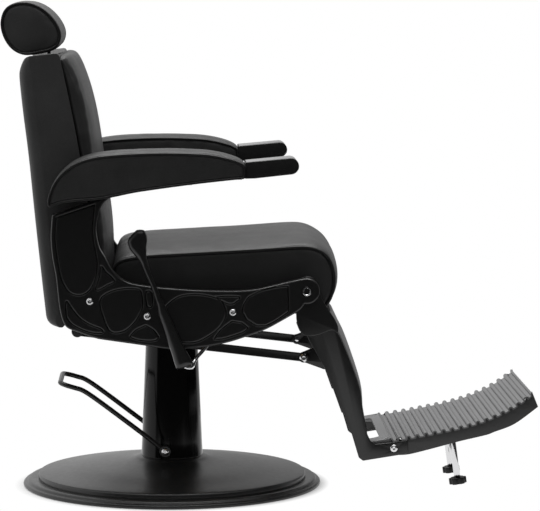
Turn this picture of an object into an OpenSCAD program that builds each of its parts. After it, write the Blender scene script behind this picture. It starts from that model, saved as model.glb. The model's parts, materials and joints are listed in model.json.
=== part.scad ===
// Hydraulic barber chair, an assembly of separate pieces.
// X points forward, Y to the sitter's left, Z up; the origin is the centre of the base on the floor.

/* [Base] */
// Diameter of the base over its floor ring
base_d = 650; // [560:1:720]
// Width of the floor ring
ring_w = 33; // [26:1:45]
// Height of the floor ring
ring_h = 16; // [12:1:22]
// Thickness of the steel base plate
plate_t = 12; // [8:1:14]
// Height of the upright wall at the cover's edge
cover_wall_h = 8; // [4:1:14]
// Rise of the cover from its edge to the column
cover_rise = 40; // [30:1:60]
// Thickness of the pressed cover
cover_t = 2; // [1.5:0.1:3]

/* [Column] */
// Diameter of the column cover at its foot
column_foot_d = 133; // [124:1:150]
// Diameter of the column cover at its top
column_top_d = 112; // [104:1:122]
// Gap between the column cover and the hub above it
column_gap = 6; // [4:1:12]
// Width of the slot for the pedal shaft
slot_w = 20; // [18:1:26]
// Height of the slot above the pedal shaft
slot_rise = 24; // [16:1:36]

/* [Pump] */
// Outer diameter of the pump housing
housing_d = 84; // [80:1:92]
// Diameter of the lifting ram
ram_d = 56; // [48:1:60]
// Lifting height of the pump
lift = 160; // [120:5:170]
// Running clearance on a radius
fit_gap = 0.05; // [0.02:0.01:0.09]
// Height of the pedal shaft above the floor
pedal_z = 84; // [82:1:90]
// Diameter of the pedal shaft
pedal_shaft_d = 14; // [12:1:16]
// Diameter of the pedal rod
pedal_rod_d = 10.5; // [8:0.5:12]
// Distance between the two arms of the pedal
pedal_w = 176; // [166:1:190]

/* [Seat] */
// Height of the frame's top above the floor
deck_h = 392; // [380:1:410]
// Width of the seat cushion
seat_w = 508; // [480:1:520]
// Rise of the cushion's crown above its piping
seat_crown = 25; // [15:1:32]
// Thickness of the seat board
board_t = 12; // [9:1:15]
// Section of the square frame tube
frame_bar = 30; // [25:1:32]
// Wall of the square frame tube
frame_wall = 2.5; // [2:0.1:4]

/* [Side panels] */
// Gap between a side panel and the legrest's cheek inside it
panel_gap = 4; // [3:0.5:12]
// Thickness of a panel between its ribs
panel_t = 13; // [8:1:16]
// Height of the ribs above the panel
rib_h = 14; // [8:1:18]
// Thickness of the inserts in the cells
insert_t = 7; // [4:0.5:8]
// Gap between an insert and the ribs round it
insert_gap = 2; // [1:0.1:4]
// Radius of the screw bosses
boss_r = 11; // [9:0.5:13]
// Diameter of the panel screws' heads
screw_d = 12; // [9:0.5:13]

/* [Arms] */
// Width of an arm pad
arm_w = 94; // [80:1:98]
// Gap between an arm pad and the back
arm_gap = 8; // [5:0.5:16]
// Rise of the pad's crown above its piping
arm_crown = 7; // [4:0.5:9]
// Height of the arm tip
tip_h = 34; // [28:0.5:38]
// Thickness of the steel bar under the pad
arm_bar_t = 8; // [6:0.5:10]
// Width of the steel bar under the pad
arm_bar_w = 44; // [36:1:56]
// Thickness of the bright plate on the arm tip
tip_plate_t = 4; // [3:0.5:6]

/* [Back] */
// Width of the back
back_w = 472; // [450:1:478]
// Radius of the back casing's upright rear edges
back_round = 28; // [18:1:34]
// Rise of the back cushion's crown
back_crown = 16; // [8:1:18]
// Diameter of the cross tube below the back
back_tube_d = 20; // [18:1:21]
// Thickness of the steel brackets on the back
bracket_t = 6; // [5:0.5:8]
// Largest recline of the back, in degrees
recline = 45; // [30:1:45]

/* [Headrest] */
// Length of the headrest roll
head_w = 300; // [260:1:340]
// Depth of the headrest roll at its piping
head_d = 122; // [110:1:130]
// Height of the headrest roll at its piping
head_h = 108; // [96:1:112]
// Thickness of the headrest post
post_t = 8; // [6:0.5:10]
// Width of the headrest post
post_w = 30; // [24:1:36]
// Travel of the headrest post
post_travel = 110; // [80:1:120]

/* [Legrest] */
// Width over the leg plates
leg_w = 368; // [350:1:380]
// Thickness of the leg plates
leg_t = 6; // [4:0.5:8]
// Width of the steel link bars
link_h = 18; // [14:0.5:20]
// Thickness of the link bars
link_t = 6; // [4:0.5:7]
// Distance between the two link bars
link_span = 316; // [310:1:322]
// Diameter of the link bolts
link_bolt_d = 10; // [8:0.5:11]
// Play of the link's rear eye round its bolt
link_play = 2.8; // [2.6:0.1:3.2]
// Bulge of the calf panel between the leg plates
calf_bulge = 16; // [8:1:20]

/* [Footplate] */
// Number of ribs on the tread
rib_count = 17; // [12:1:20]
// Height of the tread's ribs
tread_rib = 6; // [4:0.2:8]
// Thickness of the tread
tread_t = 3; // [2.5:0.1:4]
// Diameter of the support legs
prop_d = 14; // [12:0.5:18]
// Distance between the two support legs
prop_span = 146; // [120:1:200]
// Diameter of the support feet
prop_foot_d = 38; // [30:1:44]
// Gap between the support feet and the floor
prop_gap = 6; // [3:0.5:12]

/* [Lever] */
// Thickness of the lever grip
grip_t = 22; // [16:1:24]
// Diameter of the lever rod and its shaft
lever_d = 9; // [8:0.5:10]

/* [Hidden] */
$fn = 48;

seat_gap = 0.3; // clearance between soft pieces and what they sit on
black = [0.09, 0.09, 0.1];
soft_black = [0.13, 0.13, 0.14];
steel = [0.6, 0.6, 0.62];
chrome = [0.8, 0.8, 0.82];

// ---- curves and lofts ----

// One point of a smooth curve between b and c
function blend(a, b, c, d, t) =
    0.5 * (2 * b + (c - a) * t + (2 * a - 5 * b + 4 * c - d) * t * t + (3 * b - a - 3 * c + d) * t * t * t);

// Smooth closed curve through the points
function ring_curve(p, n = 4) = [
    for (i = [0:len(p) - 1], k = [0:n - 1])
        blend(p[(i + len(p) - 1) % len(p)], p[i], p[(i + 1) % len(p)], p[(i + 2) % len(p)], k / n)
];

// Smooth open curve through the points
function line_curve(p, n = 4) = concat(
    [for (i = [0:len(p) - 2], k = [0:n - 1])
        blend(p[max(i - 1, 0)], p[i], p[i + 1], p[min(i + 2, len(p) - 1)], k / n)],
    [p[len(p) - 1]]
);

// Outward normal of a counter-clockwise outline at its point i
function outward(p, i) =
    let (a = p[(i + len(p) - 1) % len(p)], b = p[(i + 1) % len(p)], d = (b - a) / norm(b - a))
    [d[1], -d[0]];

// Outline drawn in by inset, and swollen by up on its upper side and by ahead on its front
function swell(p, inset, up, ahead) = [
    for (i = [0:len(p) - 1])
        let (n = outward(p, i)) p[i] - n * inset + [ahead * max(0, n[0]), up * max(0, n[1])]
];

// Upward normal of an open line at its point i
function across(p, i) =
    let (d = p[min(i + 1, len(p) - 1)] - p[max(i - 1, 0)]) [-d[1], d[0]] / norm(d);

// The outline p, in X and Z, at the height y across the chair
function at_y(p, y) = [for (q = p) [q[0], y, q[1]]];

function middle(p) = [for (k = [0:2]) [for (q = p) q[k]] * [for (q = p) 1] / len(p)];

function turned(v, a) = [v[0] * cos(a) - v[1] * sin(a), v[0] * sin(a) + v[1] * cos(a)];

// Closed skin over outlines that follow each other towards +Y
module loft(rings) {
    m = len(rings);
    n = len(rings[0]);
    skin = [for (j = [0:m - 2], i = [0:n - 1], side = [0, 1])
        side == 0
            ? [j * n + i, j * n + (i + 1) % n, (j + 1) * n + (i + 1) % n]
            : [j * n + i, (j + 1) * n + (i + 1) % n, (j + 1) * n + i]];
    first = [for (i = [0:n - 1]) [m * n, (i + 1) % n, i]];
    last = [for (i = [0:n - 1]) [m * n + 1, (m - 1) * n + i, (m - 1) * n + (i + 1) % n]];
    polyhedron(
        concat([for (r = rings) each r], [middle(rings[0]), middle(rings[m - 1])]),
        concat(skin, first, last)
    );
}

// Padded form: each station is [share of the half width, inset, share of the crown]
module padded(outline, half_w, stations, up, ahead) {
    loft([for (s = stations)
        at_y(swell(outline, s[1], up * s[2], ahead * s[2]), half_w * s[0])]);
}

// Round tube along the points, r in radius
module tube_along(path, r, sides = 10) {
    rings = [for (i = [0:len(path) - 1])
        let (
            d = path[min(i + 1, len(path) - 1)] - path[max(i - 1, 0)],
            t = d / norm(d),
            u0 = abs(t[1]) > 0.9 ? [1, 0, 0] : [0, 1, 0],
            u1 = cross(t, u0),
            u = u1 / norm(u1),
            v = cross(t, u)
        )
        [for (k = [0:sides - 1]) path[i] + r * (u * cos(360 * k / sides) - v * sin(360 * k / sides))]];
    loft(rings);
}

// ---- placing ----

// Side profile, in X and Z, as a slab from y0 to y1
module slab(y0, y1) {
    translate([0, y1, 0]) rotate([90, 0, 0]) linear_extrude(y1 - y0) children();
}

// Round bar along Y from y0 to y1 at [x, z]
module bar_y(at, r, y0, y1) {
    translate([at[0], y1, at[1]]) rotate([90, 0, 0]) cylinder(r = r, h = y1 - y0);
}

module right_side() { mirror([0, 1, 0]) children(); }

module both_sides() {
    children();
    right_side() children();
}

// Flat link between two points with round ends
module strap(a, b, ra, rb) {
    hull() {
        translate(a) circle(ra, $fn = 32);
        translate(b) circle(rb, $fn = 32);
    }
}

// Button head on the outer face at |Y| = y, standing out by h
module button_head(at, r, y, h) {
    translate([at[0], y, at[1]]) rotate([-90, 0, 0]) difference() {
        union() {
            cylinder(r = r, h = h * 0.45);
            translate([0, 0, h * 0.45]) cylinder(r1 = r, r2 = r * 0.62, h = h * 0.55);
        }
        translate([0, 0, h * 0.45]) cylinder(r = r * 0.38, h = h, $fn = 6);
    }
}

// ---- base and column ----

base_r = base_d / 2;
cover_r = base_r - ring_w;
cover_z = ring_h + cover_wall_h;
column_foot_z = cover_z + cover_rise;
hub_h = 22;
mount_t = 6;
hub_z = deck_h - frame_bar - mount_t - hub_h;
column_top_z = hub_z - column_gap;
column_wall = 2;
column_foot_r = column_foot_d / 2;
column_top_r = column_top_d / 2;

module floor_ring() {
    lip = ring_w * 0.55;
    color(black) rotate_extrude($fn = 96) difference() {
        union() {
            translate([cover_r - 8, 0]) square([ring_w + 8 - ring_h * 0.5, ring_h * 0.62]);
            translate([base_r - ring_h * 0.5, ring_h * 0.31]) scale([1.6, 1]) circle(ring_h * 0.31, $fn = 24);
            translate([cover_r - 8, 0]) square([8 + lip, ring_h]);
            translate([cover_r + lip, ring_h * 0.62]) circle(ring_h * 0.38, $fn = 24);
        }
        translate([cover_r - 9, -1]) square([ring_w * 2, 1]);
    }
}

module base_plate() {
    color(steel) difference() {
        cylinder(r = cover_r - 8 - fit_gap, h = plate_t, $fn = 96);
        pump_bolt_places() translate([0, 0, plate_t - pump_thread]) cylinder(d = pump_bolt_d, h = plate_t);
    }
}

module base_cover() {
    top_r = column_foot_r + 1;
    profile = [
        [cover_r, ring_h], [cover_r, cover_z], [cover_r - 6, cover_z + 4],
        [cover_r * 0.62, cover_z + cover_rise * 0.52], [top_r + 24, column_foot_z - 7], [top_r, column_foot_z]
    ];
    outer = concat([profile[0], profile[1]], line_curve([for (i = [2:5]) profile[i]], 5));
    inner = [for (i = [len(outer) - 1:-1:0]) outer[i] - [i < 2 ? cover_t : 0, i < 2 ? 0 : cover_t]];
    color(black) rotate_extrude($fn = 96) polygon(concat(outer, inner));
}

module column_cover() {
    color(black) difference() {
        rotate_extrude($fn = 96) polygon([
            [column_foot_r + 0.5, column_foot_z], [column_foot_r, column_foot_z + 4],
            [column_top_r, column_top_z - 3], [column_top_r - 2, column_top_z],
            [column_top_r - 2 - column_wall, column_top_z],
            [column_foot_r - column_wall, column_foot_z]
        ]);
        translate([pedal_x - slot_w / 2, -base_r, column_foot_z - 1])
            cube([slot_w, base_d, pedal_z - column_foot_z + 1 + slot_rise]);
    }
}

// ---- pump ----

pedal_x = -15;
housing_r = housing_d / 2;
ram_r = ram_d / 2;
bore_r = ram_r + 4;
flange_r = 100;
flange_h = 16;
pump_bolt_d = 12;
pump_bolt_r = 82;
pump_thread = 9;
piston_h = 22;
housing_top_z = column_top_z - 4;
well_z = pedal_z + pedal_shaft_d / 2 + 14;
seal_h = 6;
ram_foot_z = well_z + seat_gap;
bush_foot_z = ram_foot_z + piston_h + lift + 1;

module pump_bolt_places() {
    for (a = [45:90:315]) rotate([0, 0, a]) translate([pump_bolt_r, 0, 0]) children();
}

module pump_housing() {
    color([0.2, 0.2, 0.22]) difference() {
        union() {
            translate([0, 0, plate_t]) cylinder(r = flange_r, h = flange_h);
            translate([0, 0, plate_t]) cylinder(r = housing_r + 6, h = well_z - plate_t);
            translate([0, 0, plate_t]) cylinder(r = housing_r, h = housing_top_z - plate_t);
        }
        translate([0, 0, well_z]) cylinder(r = bore_r, h = housing_top_z);
        bar_y([pedal_x, pedal_z], pedal_shaft_d / 2 + fit_gap, -base_r, base_r);
        pump_bolt_places() cylinder(d = pump_bolt_d + 1, h = plate_t + flange_h + 1);
    }
}

module pump_bolts() {
    color(steel) pump_bolt_places() {
        translate([0, 0, plate_t - pump_thread]) cylinder(d = pump_bolt_d, h = flange_h + pump_thread);
        translate([0, 0, plate_t + flange_h]) cylinder(d = pump_bolt_d * 1.9, h = 8, $fn = 6);
    }
}

// Ring from radius a to b between heights z0 and z1
module sleeve(a, b, z0, z1) {
    translate([0, 0, z0]) difference() {
        cylinder(r = b, h = z1 - z0);
        translate([0, 0, -1]) cylinder(r = a, h = z1 - z0 + 2);
    }
}

module guide_bush() {
    color([0.6, 0.45, 0.2]) sleeve(ram_r + fit_gap, bore_r, bush_foot_z, housing_top_z - seal_h);
}

module ram_seal() {
    color(black) sleeve(ram_r + fit_gap, bore_r, housing_top_z - seal_h, housing_top_z);
}

spigot_r = ram_r - 6;
ram_shoulder_z = hub_z;
ram_top_z = hub_z + hub_h;

module ram_tube() {
    color(chrome) {
        translate([0, 0, ram_foot_z + piston_h]) cylinder(r = ram_r, h = ram_shoulder_z - ram_foot_z - piston_h);
        translate([0, 0, ram_shoulder_z]) cylinder(r = spigot_r, h = ram_top_z - ram_shoulder_z);
    }
}

module ram_piston() {
    color(steel) difference() {
        translate([0, 0, ram_foot_z]) cylinder(r = bore_r - fit_gap, h = piston_h);
        for (z = [6, 13]) sleeve(bore_r - 2, bore_r + 1, ram_foot_z + z, ram_foot_z + z + 3);
    }
}

// ---- pump pedal ----

pedal_arm_y = pedal_w / 2;
pedal_rod_r = pedal_rod_d / 2;
pedal_side = [[-15, 0], [-63, 39], [-155, 109], [-190, 133], [-206, 139], [-241, 149]];
eye_r = 12;

// The pedal's side view carried to height
function pedal_at(i) = [pedal_side[i][0], pedal_side[i][1] + pedal_z];

module pump_pedal() {
    last = len(pedal_side) - 1;
    bend = 22;
    arm = line_curve([for (i = [1:last - 1]) [pedal_at(i)[0], pedal_arm_y, pedal_at(i)[1]]], 3);
    tip = pedal_at(last);
    corner = [for (a = [0:30:90]) [
        tip[0] + bend * (1 - sin(a)), pedal_arm_y - bend * (1 - cos(a)), tip[1] - bend * (1 - sin(a)) * 0.28]];
    path = concat(arm, corner);
    far = [for (i = [len(path) - 1:-1:0]) [path[i][0], -path[i][1], path[i][2]]];
    start = [pedal_at(0)[0] - eye_r * 0.78, pedal_arm_y, pedal_z + eye_r * 0.62];
    color(black) {
        tube_along(concat([start], path, far, [[start[0], -start[1], start[2]]]), pedal_rod_r);
        both_sides() difference() {
            bar_y([pedal_x, pedal_z], eye_r, pedal_arm_y - pedal_rod_r, pedal_arm_y + pedal_rod_r);
            bar_y([pedal_x, pedal_z], pedal_shaft_d / 2, 0, pedal_w);
        }
    }
}

module pedal_shaft() {
    end = pedal_arm_y + pedal_rod_r;
    color(steel) difference() {
        bar_y([pedal_x, pedal_z], pedal_shaft_d / 2, -end, end);
        both_sides() bar_y([pedal_x, pedal_z], 3, end - 14, end + 1);
    }
}

module pedal_bolts() {
    end = pedal_arm_y + pedal_rod_r;
    color(chrome) both_sides() {
        button_head([pedal_x, pedal_z], pedal_shaft_d / 2 + 1, end, 5);
        bar_y([pedal_x, pedal_z], 3, end - 12, end);
    }
}

// ---- seat frame ----

back_half = back_w / 2;
cheek_gap = 8;
cheek_t = 6;
cheek_y = seat_w / 2 + cheek_gap;
cheek_out = cheek_y + cheek_t;
back_pivot = [-170, deck_h + 43];
leg_pivot = [281, deck_h + 62];
panel_in = cheek_out + panel_gap;
panel_face = panel_in + panel_t;
panel_out = panel_face + rib_h;
rail_y = 105;
frame_z = deck_h - frame_bar;
cross_x = [-50, 170];
rail_x = [-65, 215];
hub_r = 52;
socket_pcd = 150;
socket_bolt_d = 10;
mount_x = 144;
mount_y = 2 * rail_y + frame_bar;

module box_tube(size, wall, axis) {
    hole = [for (k = [0:2]) k == axis ? size[k] + 2 : size[k] - 2 * wall];
    difference() {
        cube(size, center = true);
        cube(hole, center = true);
    }
}

module socket_bolt_places() {
    for (a = [45:90:315]) rotate([0, 0, a]) translate([socket_pcd / 2, 0, 0]) children();
}

module seat_frame() {
    rail_l = rail_x[1] - rail_x[0];
    color(steel) difference() {
        union() {
            for (s = [-1, 1]) translate([rail_x[0] + rail_l / 2, s * rail_y, frame_z + frame_bar / 2])
                box_tube([rail_l, frame_bar, frame_bar], frame_wall, 0);
            for (x = cross_x, s = [-1, 1])
                translate([x, s * (panel_in + rail_y + frame_bar / 2) / 2, frame_z + frame_bar / 2])
                    box_tube([frame_bar, panel_in - rail_y - frame_bar / 2, frame_bar], frame_wall, 1);
            for (x = cross_x) translate([x, 0, frame_z + frame_bar / 2])
                box_tube([frame_bar, 2 * rail_y - frame_bar, frame_bar], frame_wall, 1);
            translate([-mount_x / 2, -mount_y / 2, frame_z - mount_t]) cube([mount_x, mount_y, mount_t]);
        }
        socket_bolt_places() translate([0, 0, frame_z - mount_t - 1]) cylinder(d = socket_bolt_d, h = mount_t + 2);
        lock_passage();
    }
}

module swivel_socket() {
    flange_t = 8;
    color([0.2, 0.2, 0.22]) difference() {
        union() {
            translate([0, 0, hub_z]) cylinder(r = hub_r, h = hub_h);
            translate([0, 0, hub_z + hub_h - flange_t]) cylinder(d = socket_pcd + 28, h = flange_t);
        }
        translate([0, 0, hub_z - 1]) cylinder(r = spigot_r + fit_gap, h = hub_h + 2);
        socket_bolt_places() translate([0, 0, hub_z]) cylinder(d = socket_bolt_d, h = hub_h + 1);
    }
}

module socket_bolts() {
    color(steel) socket_bolt_places() {
        translate([0, 0, hub_z + hub_h - 8]) cylinder(d = socket_bolt_d, h = 8 + mount_t);
        translate([0, 0, hub_z + hub_h - 8 - 7]) cylinder(d = socket_bolt_d * 1.7, h = 7, $fn = 6);
    }
}

board_x = [-112, 238];

module seat_board() {
    color([0.55, 0.42, 0.28]) translate([board_x[0], -seat_w / 2 + 6, deck_h])
        cube([board_x[1] - board_x[0], seat_w - 12, board_t]);
}

// Side view of the seat cushion at its piping, above the board's top
seat_side = [
    [-100, 0], [-116, 28], [-122, 66], [-121, 96], [-108, 110], [-50, 120], [59, 126], [185, 134], [269, 140],
    [300, 137], [325, 121], [338, 96], [342, 70], [339, 44], [328, 18], [308, 0]
];

seat_nose = 13;

module seat_cushion() {
    cushion_z = deck_h + board_t + seat_gap;
    outline = line_curve(back_to_front(seat_side), 4);
    flat = [for (q = outline) [q[0], max(q[1], 0) + cushion_z]];
    half = seat_w / 2;
    shares = [
        [-1, 24, 0], [-0.997, 8, 0], [-0.983, 1, 0], [-0.96, 0, 0.14], [-0.9, 0, 0.36], [-0.78, 0, 0.58],
        [-0.6, 0, 0.78], [-0.35, 0, 0.94], [0, 0, 1], [0.35, 0, 0.94], [0.6, 0, 0.78], [0.78, 0, 0.58],
        [0.9, 0, 0.36], [0.96, 0, 0.14], [0.983, 1, 0], [0.997, 8, 0], [1, 24, 0]
    ];
    color(soft_black) padded(flat, half, shares, seat_crown, seat_nose);
}

// ---- side panels ----

// Panel outline above the frame's top: the rear and lower edge, then the upper edge
panel_low = [
    [-247, 222], [-250, 178], [-247, 135], [-240, 95], [-235, 46], [-230, 15], [-219, -11], [-191, -23],
    [-157, -35], [-108, -43], [-53, -51], [-4, -58], [58, -55], [115, -45], [160, -31], [197, -17], [234, 3],
    [264, 21], [276, 34]
];
panel_high = [
    [272, 88], [235, 80], [163, 65], [79, 64], [-4, 69], [-66, 76], [-99, 86], [-124, 109], [-138, 134],
    [-150, 156], [-156, 187], [-154, 212], [-147, 235], [-134, 253], [-110, 268]
];
cell_rear = [
    [-160, 290], [-230, 290], [-237, 225], [-241, 179], [-237, 136], [-229, 92], [-215, 65], [-199, 56],
    [-181, 58], [-167, 71], [-157, 94], [-154, 125], [-160, 160], [-163, 196], [-160, 230]
];
cell_arch = [
    [-149, 44], [-128, 62], [-99, 69], [-70, 68], [-62, 58], [-60, 33], [-67, 15], [-78, -2], [-99, -20],
    [-125, -22], [-139, 1]
];
cell_oval = [
    [-16, 24], [8, 48], [37, 56], [72, 54], [101, 44], [112, 25], [111, 7], [94, -18], [58, -41], [29, -45],
    [0, -38], [-14, -9]
];
cell_front = [
    [150, 35], [159, 50], [185, 63], [215, 70], [242, 73], [244, 20], [215, 0], [195, -10], [176, -10],
    [156, 3], [147, 20]
];
recesses = [
    [[-219, 44], [-209, 31], [-191, 8], [-168, -7], [-147, -15], [-143, -24], [-170, -22], [-201, -9], [-218, 10]],
    [[-146, 117], [-136, 104], [-118, 86], [-132, 77], [-153, 66], [-157, 72], [-149, 96]],
    [[-53, 63], [-40, 59], [-41, 31], [-51, 33]],
    [[92, 51], [142, 51], [133, 40], [125, 36], [113, 38]],
    [[-54, -8], [-27, -33], [-46, -41], [-88, -32]],
    [[125, 0], [159, -14], [133, -29], [87, -38]]
];
boss_places = [[-170, 43], [-51, 11], [127, 19]];
lug_r = 27;

module panel_shape() {
    difference() {
        union() {
            polygon(concat(line_curve(panel_low, 3), line_curve(panel_high, 3)));
            translate([leg_pivot[0], leg_pivot[1] - deck_h]) circle(lug_r);
        }
        translate([0, -deck_h]) arm_shape(seat_gap);
    }
}

module cell_shape(points, steps) {
    intersection() {
        polygon(ring_curve(points, steps));
        offset(delta = -7) panel_shape();
    }
}

module cells() {
    cell_shape(cell_rear, 3);
    cell_shape(cell_arch, 3);
    cell_shape(cell_oval, 3);
    intersection() {
        polygon(cell_front);
        offset(delta = -4) panel_shape();
    }
}

module side_panel() {
    color(black) translate([0, 0, deck_h]) difference() {
        union() {
            slab(panel_in, panel_face) panel_shape();
            slab(panel_face, panel_out - 2) difference() {
                panel_shape();
                cells();
                for (r = recesses) polygon(ring_curve(r, 2));
            }
            slab(panel_out - 2, panel_out) difference() {
                offset(delta = -1.5) panel_shape();
                offset(delta = 1.5) cells();
                for (r = recesses) offset(delta = 1.5) polygon(ring_curve(r, 2));
            }
            for (b = boss_places) bar_y(b, boss_r, panel_face, panel_out);
        }
        for (b = boss_places) bar_y(b, screw_d / 2 - 2, panel_in - 1, panel_out + 1);
        bar_y([leg_pivot[0], leg_pivot[1] - deck_h], pivot_bolt_r, panel_in - 1, panel_out + 1);
    }
}

module panel_inserts() {
    color(soft_black) translate([0, 0, deck_h]) slab(panel_face, panel_face + insert_t)
        difference() {
            offset(delta = -insert_gap) cells();
            for (b = boss_places) translate(b) circle(boss_r + insert_gap);
        }
}

module panel_screws() {
    color(chrome) both_sides() translate([0, 0, deck_h]) for (b = [boss_places[1], boss_places[2]]) {
        button_head(b, screw_d / 2, panel_out, 4);
        bar_y(b, screw_d / 2 - 2, panel_in, panel_out);
    }
}

// ---- arms ----

arm_y = back_half + arm_gap + arm_w / 2;
arm_low = [
    [-254, 240], [-229, 250], [-188, 255], [-147, 258], [-106, 266], [-65, 274], [38, 288], [100, 295], [152, 300]
];
arm_high = [
    [153, 326], [141, 334], [112, 343], [72, 350], [2, 353], [-69, 352], [-140, 347], [-185, 337], [-217, 319],
    [-242, 290], [-255, 256]
];
tip_tail_x = 154;
tip_x = 263;
tip_z = [317, 325];

// Side view of the arm pad at its piping, grown by g
module arm_shape(g) {
    offset(delta = g) polygon(arm_outline());
}

function arm_outline() = [for (p = concat(line_curve(arm_low, 3), line_curve(arm_high, 3))) lifted(p)];

// The steel bar follows the pad's underside and runs into the tip
function bar_line(up) =
    [for (p = line_curve([for (i = [2:9]) i < 9 ? arm_low[i] : arm_low[8] + [24, 3]], 3)) lifted(p) + [0, up]];

function back_to_front(p) = [for (i = [len(p) - 1:-1:0]) p[i]];

module bar_shape(g) {
    polygon(concat(bar_line(-g), back_to_front(bar_line(arm_bar_t + g))));
}

module arm_pad() {
    channel_w = arm_bar_w + 2 * seat_gap;
    shares = [
        [-1, 10, 0], [-0.985, 2, 0], [-0.95, 0, 0.15], [-0.8, 0, 0.55], [-0.45, 0, 0.88], [0, 0, 1],
        [0.45, 0, 0.88], [0.8, 0, 0.55], [0.95, 0, 0.15], [0.985, 2, 0], [1, 10, 0]
    ];
    color(soft_black) difference() {
        translate([0, arm_y, 0]) padded(arm_outline(), arm_w / 2, shares, arm_crown, 0);
        slab(arm_y - channel_w / 2, arm_y + channel_w / 2) bar_shape(seat_gap);
    }
}

module tip_shape(shrink) {
    r = tip_h / 2 - shrink;
    front = tip_x - tip_h / 2;
    hull() {
        translate([front, tip_z[1] + deck_h]) circle(r, $fn = 32);
        translate([tip_tail_x + r + 1, tip_z[0] + deck_h]) square([0.1, 2 * r], center = true);
        translate([tip_tail_x + seat_gap, tip_z[0] - 0.5 + deck_h]) square([0.1, 2 * r], center = true);
    }
}

tip_w = arm_w - 6;

module arm_bar() {
    color(black) difference() {
        union() {
            slab(arm_y - arm_bar_w / 2, arm_y + arm_bar_w / 2) bar_shape(0);
            slab(arm_y - tip_w / 2, arm_y + tip_w / 2) tip_shape(0);
        }
        tip_skin(1);
        arm_screw_places() cylinder(d = arm_screw_d + 4 * fit_gap, h = 60, center = true);
    }
}

// Skin over the top and the nose of the arm tip, grown outwards by g
module tip_skin(g) {
    slab(arm_y - tip_w / 2 + 3, arm_y + tip_w / 2 - 3) difference() {
        tip_shape(-g);
        tip_shape(tip_plate_t);
        translate(lifted([tip_tail_x - 1, tip_z[0] - tip_h])) square([tip_x, tip_h + 2]);
    }
}

module arm_tip_plates() {
    color(chrome) both_sides() tip_skin(0);
}

arm_screw_d = 6;
arm_screw_lift = 1.2;
arm_screws_at = [arm_low[6], (arm_low[7] + 4 * arm_low[8]) / 5];

module arm_screw_places() {
    for (p = arm_screws_at) translate([p[0], arm_y, lifted(p)[1]]) children();
}

module arm_screws() {
    color(chrome) both_sides() arm_screw_places() {
        translate([0, 0, -arm_screw_lift]) cylinder(d = arm_screw_d, h = arm_screw_lift + 6);
        translate([0, 0, -arm_screw_lift - 3]) cylinder(d1 = 9, d2 = 12, h = 3);
    }
}

// ---- pivots on the seat ----

pivot_bolt_r = 8;
bolt_head_r = 10;

module back_pivot_bolts() {
    color(chrome) both_sides() {
        button_head(back_pivot, screw_d / 2, panel_out, 4);
        bar_y(back_pivot, screw_d / 2 - 2, panel_in - 0.5, panel_out);
        bar_y(back_pivot, pivot_bolt_r, back_w / 2 + seat_gap + 0.2, panel_in);
    }
}

module leg_pivot_bolts() {
    color(chrome) both_sides() {
        button_head(leg_pivot, bolt_head_r, panel_out, 4);
        bar_y(leg_pivot, pivot_bolt_r, cheek_y, panel_out);
    }
}

// ---- recline lock and lever ----

lever_pivot = [82, deck_h - 39];
lever_r = lever_d / 2;
lock_y = -60;
lock_r = 9;
lock_rod_r = 5;
lock_z = deck_h - 18;
lock_x = [-118, 60];
crank_start = -22.5;
lock_crank_r = norm([0, lock_z - back_pivot[1]]) / cos(crank_start);
lock_pin = back_pivot + lock_crank_r * [sin(crank_start), -cos(crank_start)];
lock_pin_r = 4;
lock_eye_r = 8;
lock_plate_y = lock_y + lock_rod_r + 1;

module lock_passage() {
    translate([lock_x[0] - 100, lock_y, lock_z]) rotate([0, 90, 0])
        cylinder(r = lock_r, h = base_d);
}

module lock_cylinder() {
    color(black) difference() {
        union() {
            translate([lock_x[0], lock_y, lock_z]) rotate([0, 90, 0]) cylinder(r = lock_r, h = lock_x[1] - lock_x[0]);
            translate([lock_x[1], lock_y, lock_z]) rotate([0, 90, 0]) cylinder(r = 3, h = 10);
        }
        translate([lock_x[0] - 1, lock_y, lock_z]) rotate([0, 90, 0])
            cylinder(r = lock_rod_r + fit_gap, h = lock_x[1] - lock_x[0] - 12);
    }
}

module lock_rod() {
    sag = lock_crank_r * (1 - cos(crank_start));
    color(chrome) union() {
        translate([lock_pin[0] + lock_eye_r, lock_y, lock_z]) rotate([0, 90, 0])
            cylinder(r = lock_rod_r, h = lock_x[0] - lock_pin[0] + 30);
        difference() {
            slab(lock_y - 4, lock_y + 4) strap([lock_pin[0], lock_z], [lock_pin[0], lock_z - sag], lock_eye_r, lock_eye_r);
            slab(lock_y - 5, lock_y + 5) strap([lock_pin[0], lock_z + 0.3], [lock_pin[0], lock_z - sag - 0.6],
                lock_pin_r + 0.4, lock_pin_r + 0.4);
        }
    }
}

bearing_y = [rail_y - 8, panel_in - 26];
bearing_w = 10;
bearing_r = 8.5;

// The inner bearing hangs from the rail, the outer one from an arm on the panel
module lever_bearings() {
    color(steel) difference() {
        union() {
            for (y = bearing_y) bar_y(lever_pivot, bearing_r, -y - bearing_w / 2, bearing_w / 2 - y);
            translate([lever_pivot[0] - bearing_r, -bearing_y[0] - bearing_w / 2, lever_pivot[1]])
                cube([2 * bearing_r, bearing_w, frame_z - lever_pivot[1]]);
            translate([lever_pivot[0] - bearing_r, -panel_in, lever_pivot[1] + lever_r + 1])
                cube([2 * bearing_r, panel_in - bearing_y[1] + bearing_w / 2, 5]);
        }
        bar_y(lever_pivot, lever_r + fit_gap, -panel_in, 0);
    }
}

lever_out = panel_out + 8 + grip_t / 2;
shaft_end = bearing_y[1] + bearing_w / 2 + 3;

module lever_shaft() {
    tab_h = lock_z - lever_pivot[1];
    color(steel) {
        bar_y(lever_pivot, lever_r, -shaft_end, lock_y + 12);
        slab(lock_y - 3, lock_y + 3) strap(lever_pivot, lever_pivot + [0, tab_h], lever_r + 2, 5);
    }
}

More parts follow.
